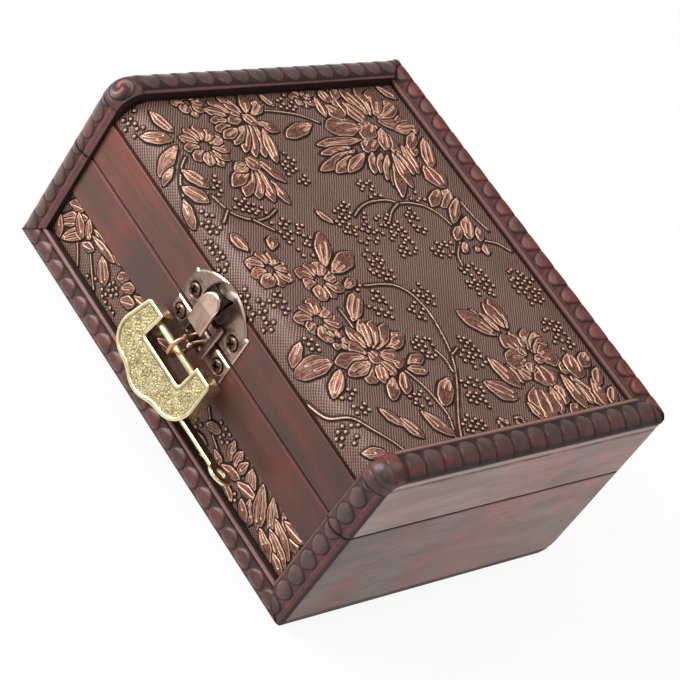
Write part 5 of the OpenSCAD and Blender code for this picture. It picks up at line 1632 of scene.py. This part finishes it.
# Hinges at the back: flat leaves with softened edges, knuckles in three lengths, screws
hinge = {
    "x": 38.0, "y": 56.7, "z": 37.15, "half": 9.0, "leaf": 8.0, "thick": 0.8, "knuckleR": 1.15,
    "lidHalf": 2.9, "baseFrom": 3.0, "lift": 1.35, "screwX": 5.5, "screwZ": 5.0, "headR": 1.3,
    "headH": 0.5,
}


# Turns a drawn piece backwards and moves it over the hinge on one side
def atHinge(side, dx=0.0, dz=0.0):
    place = faceBackwards(box["back"] + hinge["thick"])
    return lambda p: place(p) + (side * hinge["x"] + dx, 0, hinge["z"] + dz)


# Both leaves of the lid (level 1) or the base (level -1): the knuckle runs in the middle of the
# hinge on the lid and at both of its ends on the base
def hingeShells(level):
    half, inner, start = hinge["half"], hinge["lidHalf"], hinge["baseFrom"]
    spans = [(-inner, inner)] if level > 0 else [(-half, -start), (start, half)]

    def outline(x, z):
        up = level * z
        leaf = boxAt(x, up, -half, half, hinge["lift"], hinge["leaf"], 0.8)
        tabs = boxAt(x, up, -inner, inner, 0, 3.0) if level > 0 else \
            boxAt(np.abs(x), up, start, half, 0, 3.0)
        return np.minimum(leaf, tabs)

    shells, zs = [], spaced(0, hinge["leaf"], 0.3, 0.2)
    for side in (-1, 1):
        shells.append(slab(outline, spaced(-half, half, 0.3, 0.2),
                           zs if level > 0 else -zs[::-1], lambda x, z, d: roundOff(d, 0.25),
                           hinge["thick"], atHinge(side)))
        shells += [rod(side * hinge["x"] + a, side * hinge["x"] + b,
                       (0, hinge["y"], hinge["z"]), hinge["knuckleR"], 0.15, 24)
                   for a, b in spans]
    return shells


# Screws of both leaves, two in each, turned at random-looking angles
def hingeScrews(level):
    return [screwHead(hinge["headR"], hinge["headH"],
                      atHinge(side, along * hinge["screwX"], level * hinge["screwZ"]),
                      0.4 * along + side + level)
            for side in (-1, 1) for along in (-1, 1)]


for level, body in ((-1, "base"), (1, "lid")):
    addPiece(f"{body}HingeLeaves", hingeShells(level), bronze, body,
             [f"{body}_hinge_leaves"], 30)
    addPiece(f"{body}HingeScrews", hingeScrews(level), screwMetal, body,
             [f"{body}_hinge_screws"], 30)
repaint("hinge_pins", steel)
print("stage: hinges")


# Linings: thin crowned pads of velvet that stay in the space of their CAD sheets
pads = {
    "crown": 0.21, "buttons": 26.0, "fill": 0.35, "cell": 1.0, "soft": 0.6,
    "floorZ": (1.6, 2.6), "lidZ": (53.2, 54.0), "wallZ": (2.6, 35.0), "wallThick": 0.8,
    "wallCorner": 1.2, "wallStep": 2.0, "wave": 0.06,
}


# Velvet sheet as wide as the inside. Its face falls off at the edges and in shallow diagonal
# channels, by waves of the distance between buttons
def crownedPad(name, z0, z1, up, body, node):
    def face(x, y, d):
        turn = 2 * math.pi / pads["buttons"]
        quilt = 0.5 - 0.5 * np.cos((x + y) * turn) * np.cos((x - y) * turn)
        return roundOff(d, 0.55) + pads["crown"] * (1 - quilt)

    def place(p):
        return np.stack([p[:, 0], p[:, 2], z1 - p[:, 1] if up else z0 + p[:, 1]], 1)

    x, y0, y1, soft = box["innerX"], box["innerFrontY"], box["innerBackY"], pads["soft"]
    shell = slab(lambda a, b: boxAt(a, b, -x, x, y0, y1, soft), spaced(-x, x, pads["cell"], soft),
                 spaced(y0, y1, pads["cell"], soft), face, z1 - z0, place)
    piece = addPiece(name, shell, velvet, body, [node], 60)


# Wall lining: a ring of velvet round the inside, with round corners, whose top edge is turned
# over softly as a half circle
def wallLining():
    x, y0, y1, (z0, z1) = box["innerX"], box["innerFrontY"], box["innerBackY"], pads["wallZ"]
    t, r = pads["wallThick"], pads["wallCorner"]
    corners = []
    for cx, cy, first in ((x - r, y1 - r, 0), (r - x, y1 - r, 90), (r - x, y0 + r, 180),
                          (x - r, y0 + r, 270)):
        angle = np.radians(first + np.linspace(0, 90, 7))
        corners.append(np.stack([cx + r * np.cos(angle), cy + r * np.sin(angle),
                                 np.cos(angle), np.sin(angle)], 1))
    loop = np.concatenate(corners)
    parts = []
    for a, b in zip(loop, np.roll(loop, -1, 0)):
        steps = max(1, int(np.hypot(*(b[:2] - a[:2])) / pads["wallStep"]))
        parts.append(a + np.linspace(0, 1, steps + 1)[:-1, None] * (b - a))
    path = np.concatenate(parts)
    over = np.linspace(0, math.pi, 7)[1:-1]
    rise = np.linspace(z0, z1 - t / 2, 12)
    heights = np.concatenate([rise, z1 - t / 2 + t / 2 * np.sin(over), rise[::-1]])
    depths = np.concatenate([np.zeros(12), t / 2 - t / 2 * np.cos(over), np.full(12, t)])
    wave = pads["wave"] * np.sin(np.arange(len(path))[:, None] * 0.7) * (depths > t / 2)
    inward = depths - wave * np.sin(heights * 0.5)
    normal = path[:, 2:] / np.hypot(path[:, 2], path[:, 3])[:, None]
    points = np.stack([path[:, :1] - normal[:, :1] * inward, path[:, 1:2] - normal[:, 1:] * inward,
                       np.broadcast_to(heights, inward.shape)], -1)
    return loft(points, closed=True)


crownedPad("floorPad", *pads["floorZ"], True, "base", "floor_lining")
crownedPad("lidPad", *pads["lidZ"], False, "lid", "lid_lining")
wallPiece = addPiece("wallLining", wallLining(), velvet, "base", ["base_wall_lining"], 60)
print("stage: linings")
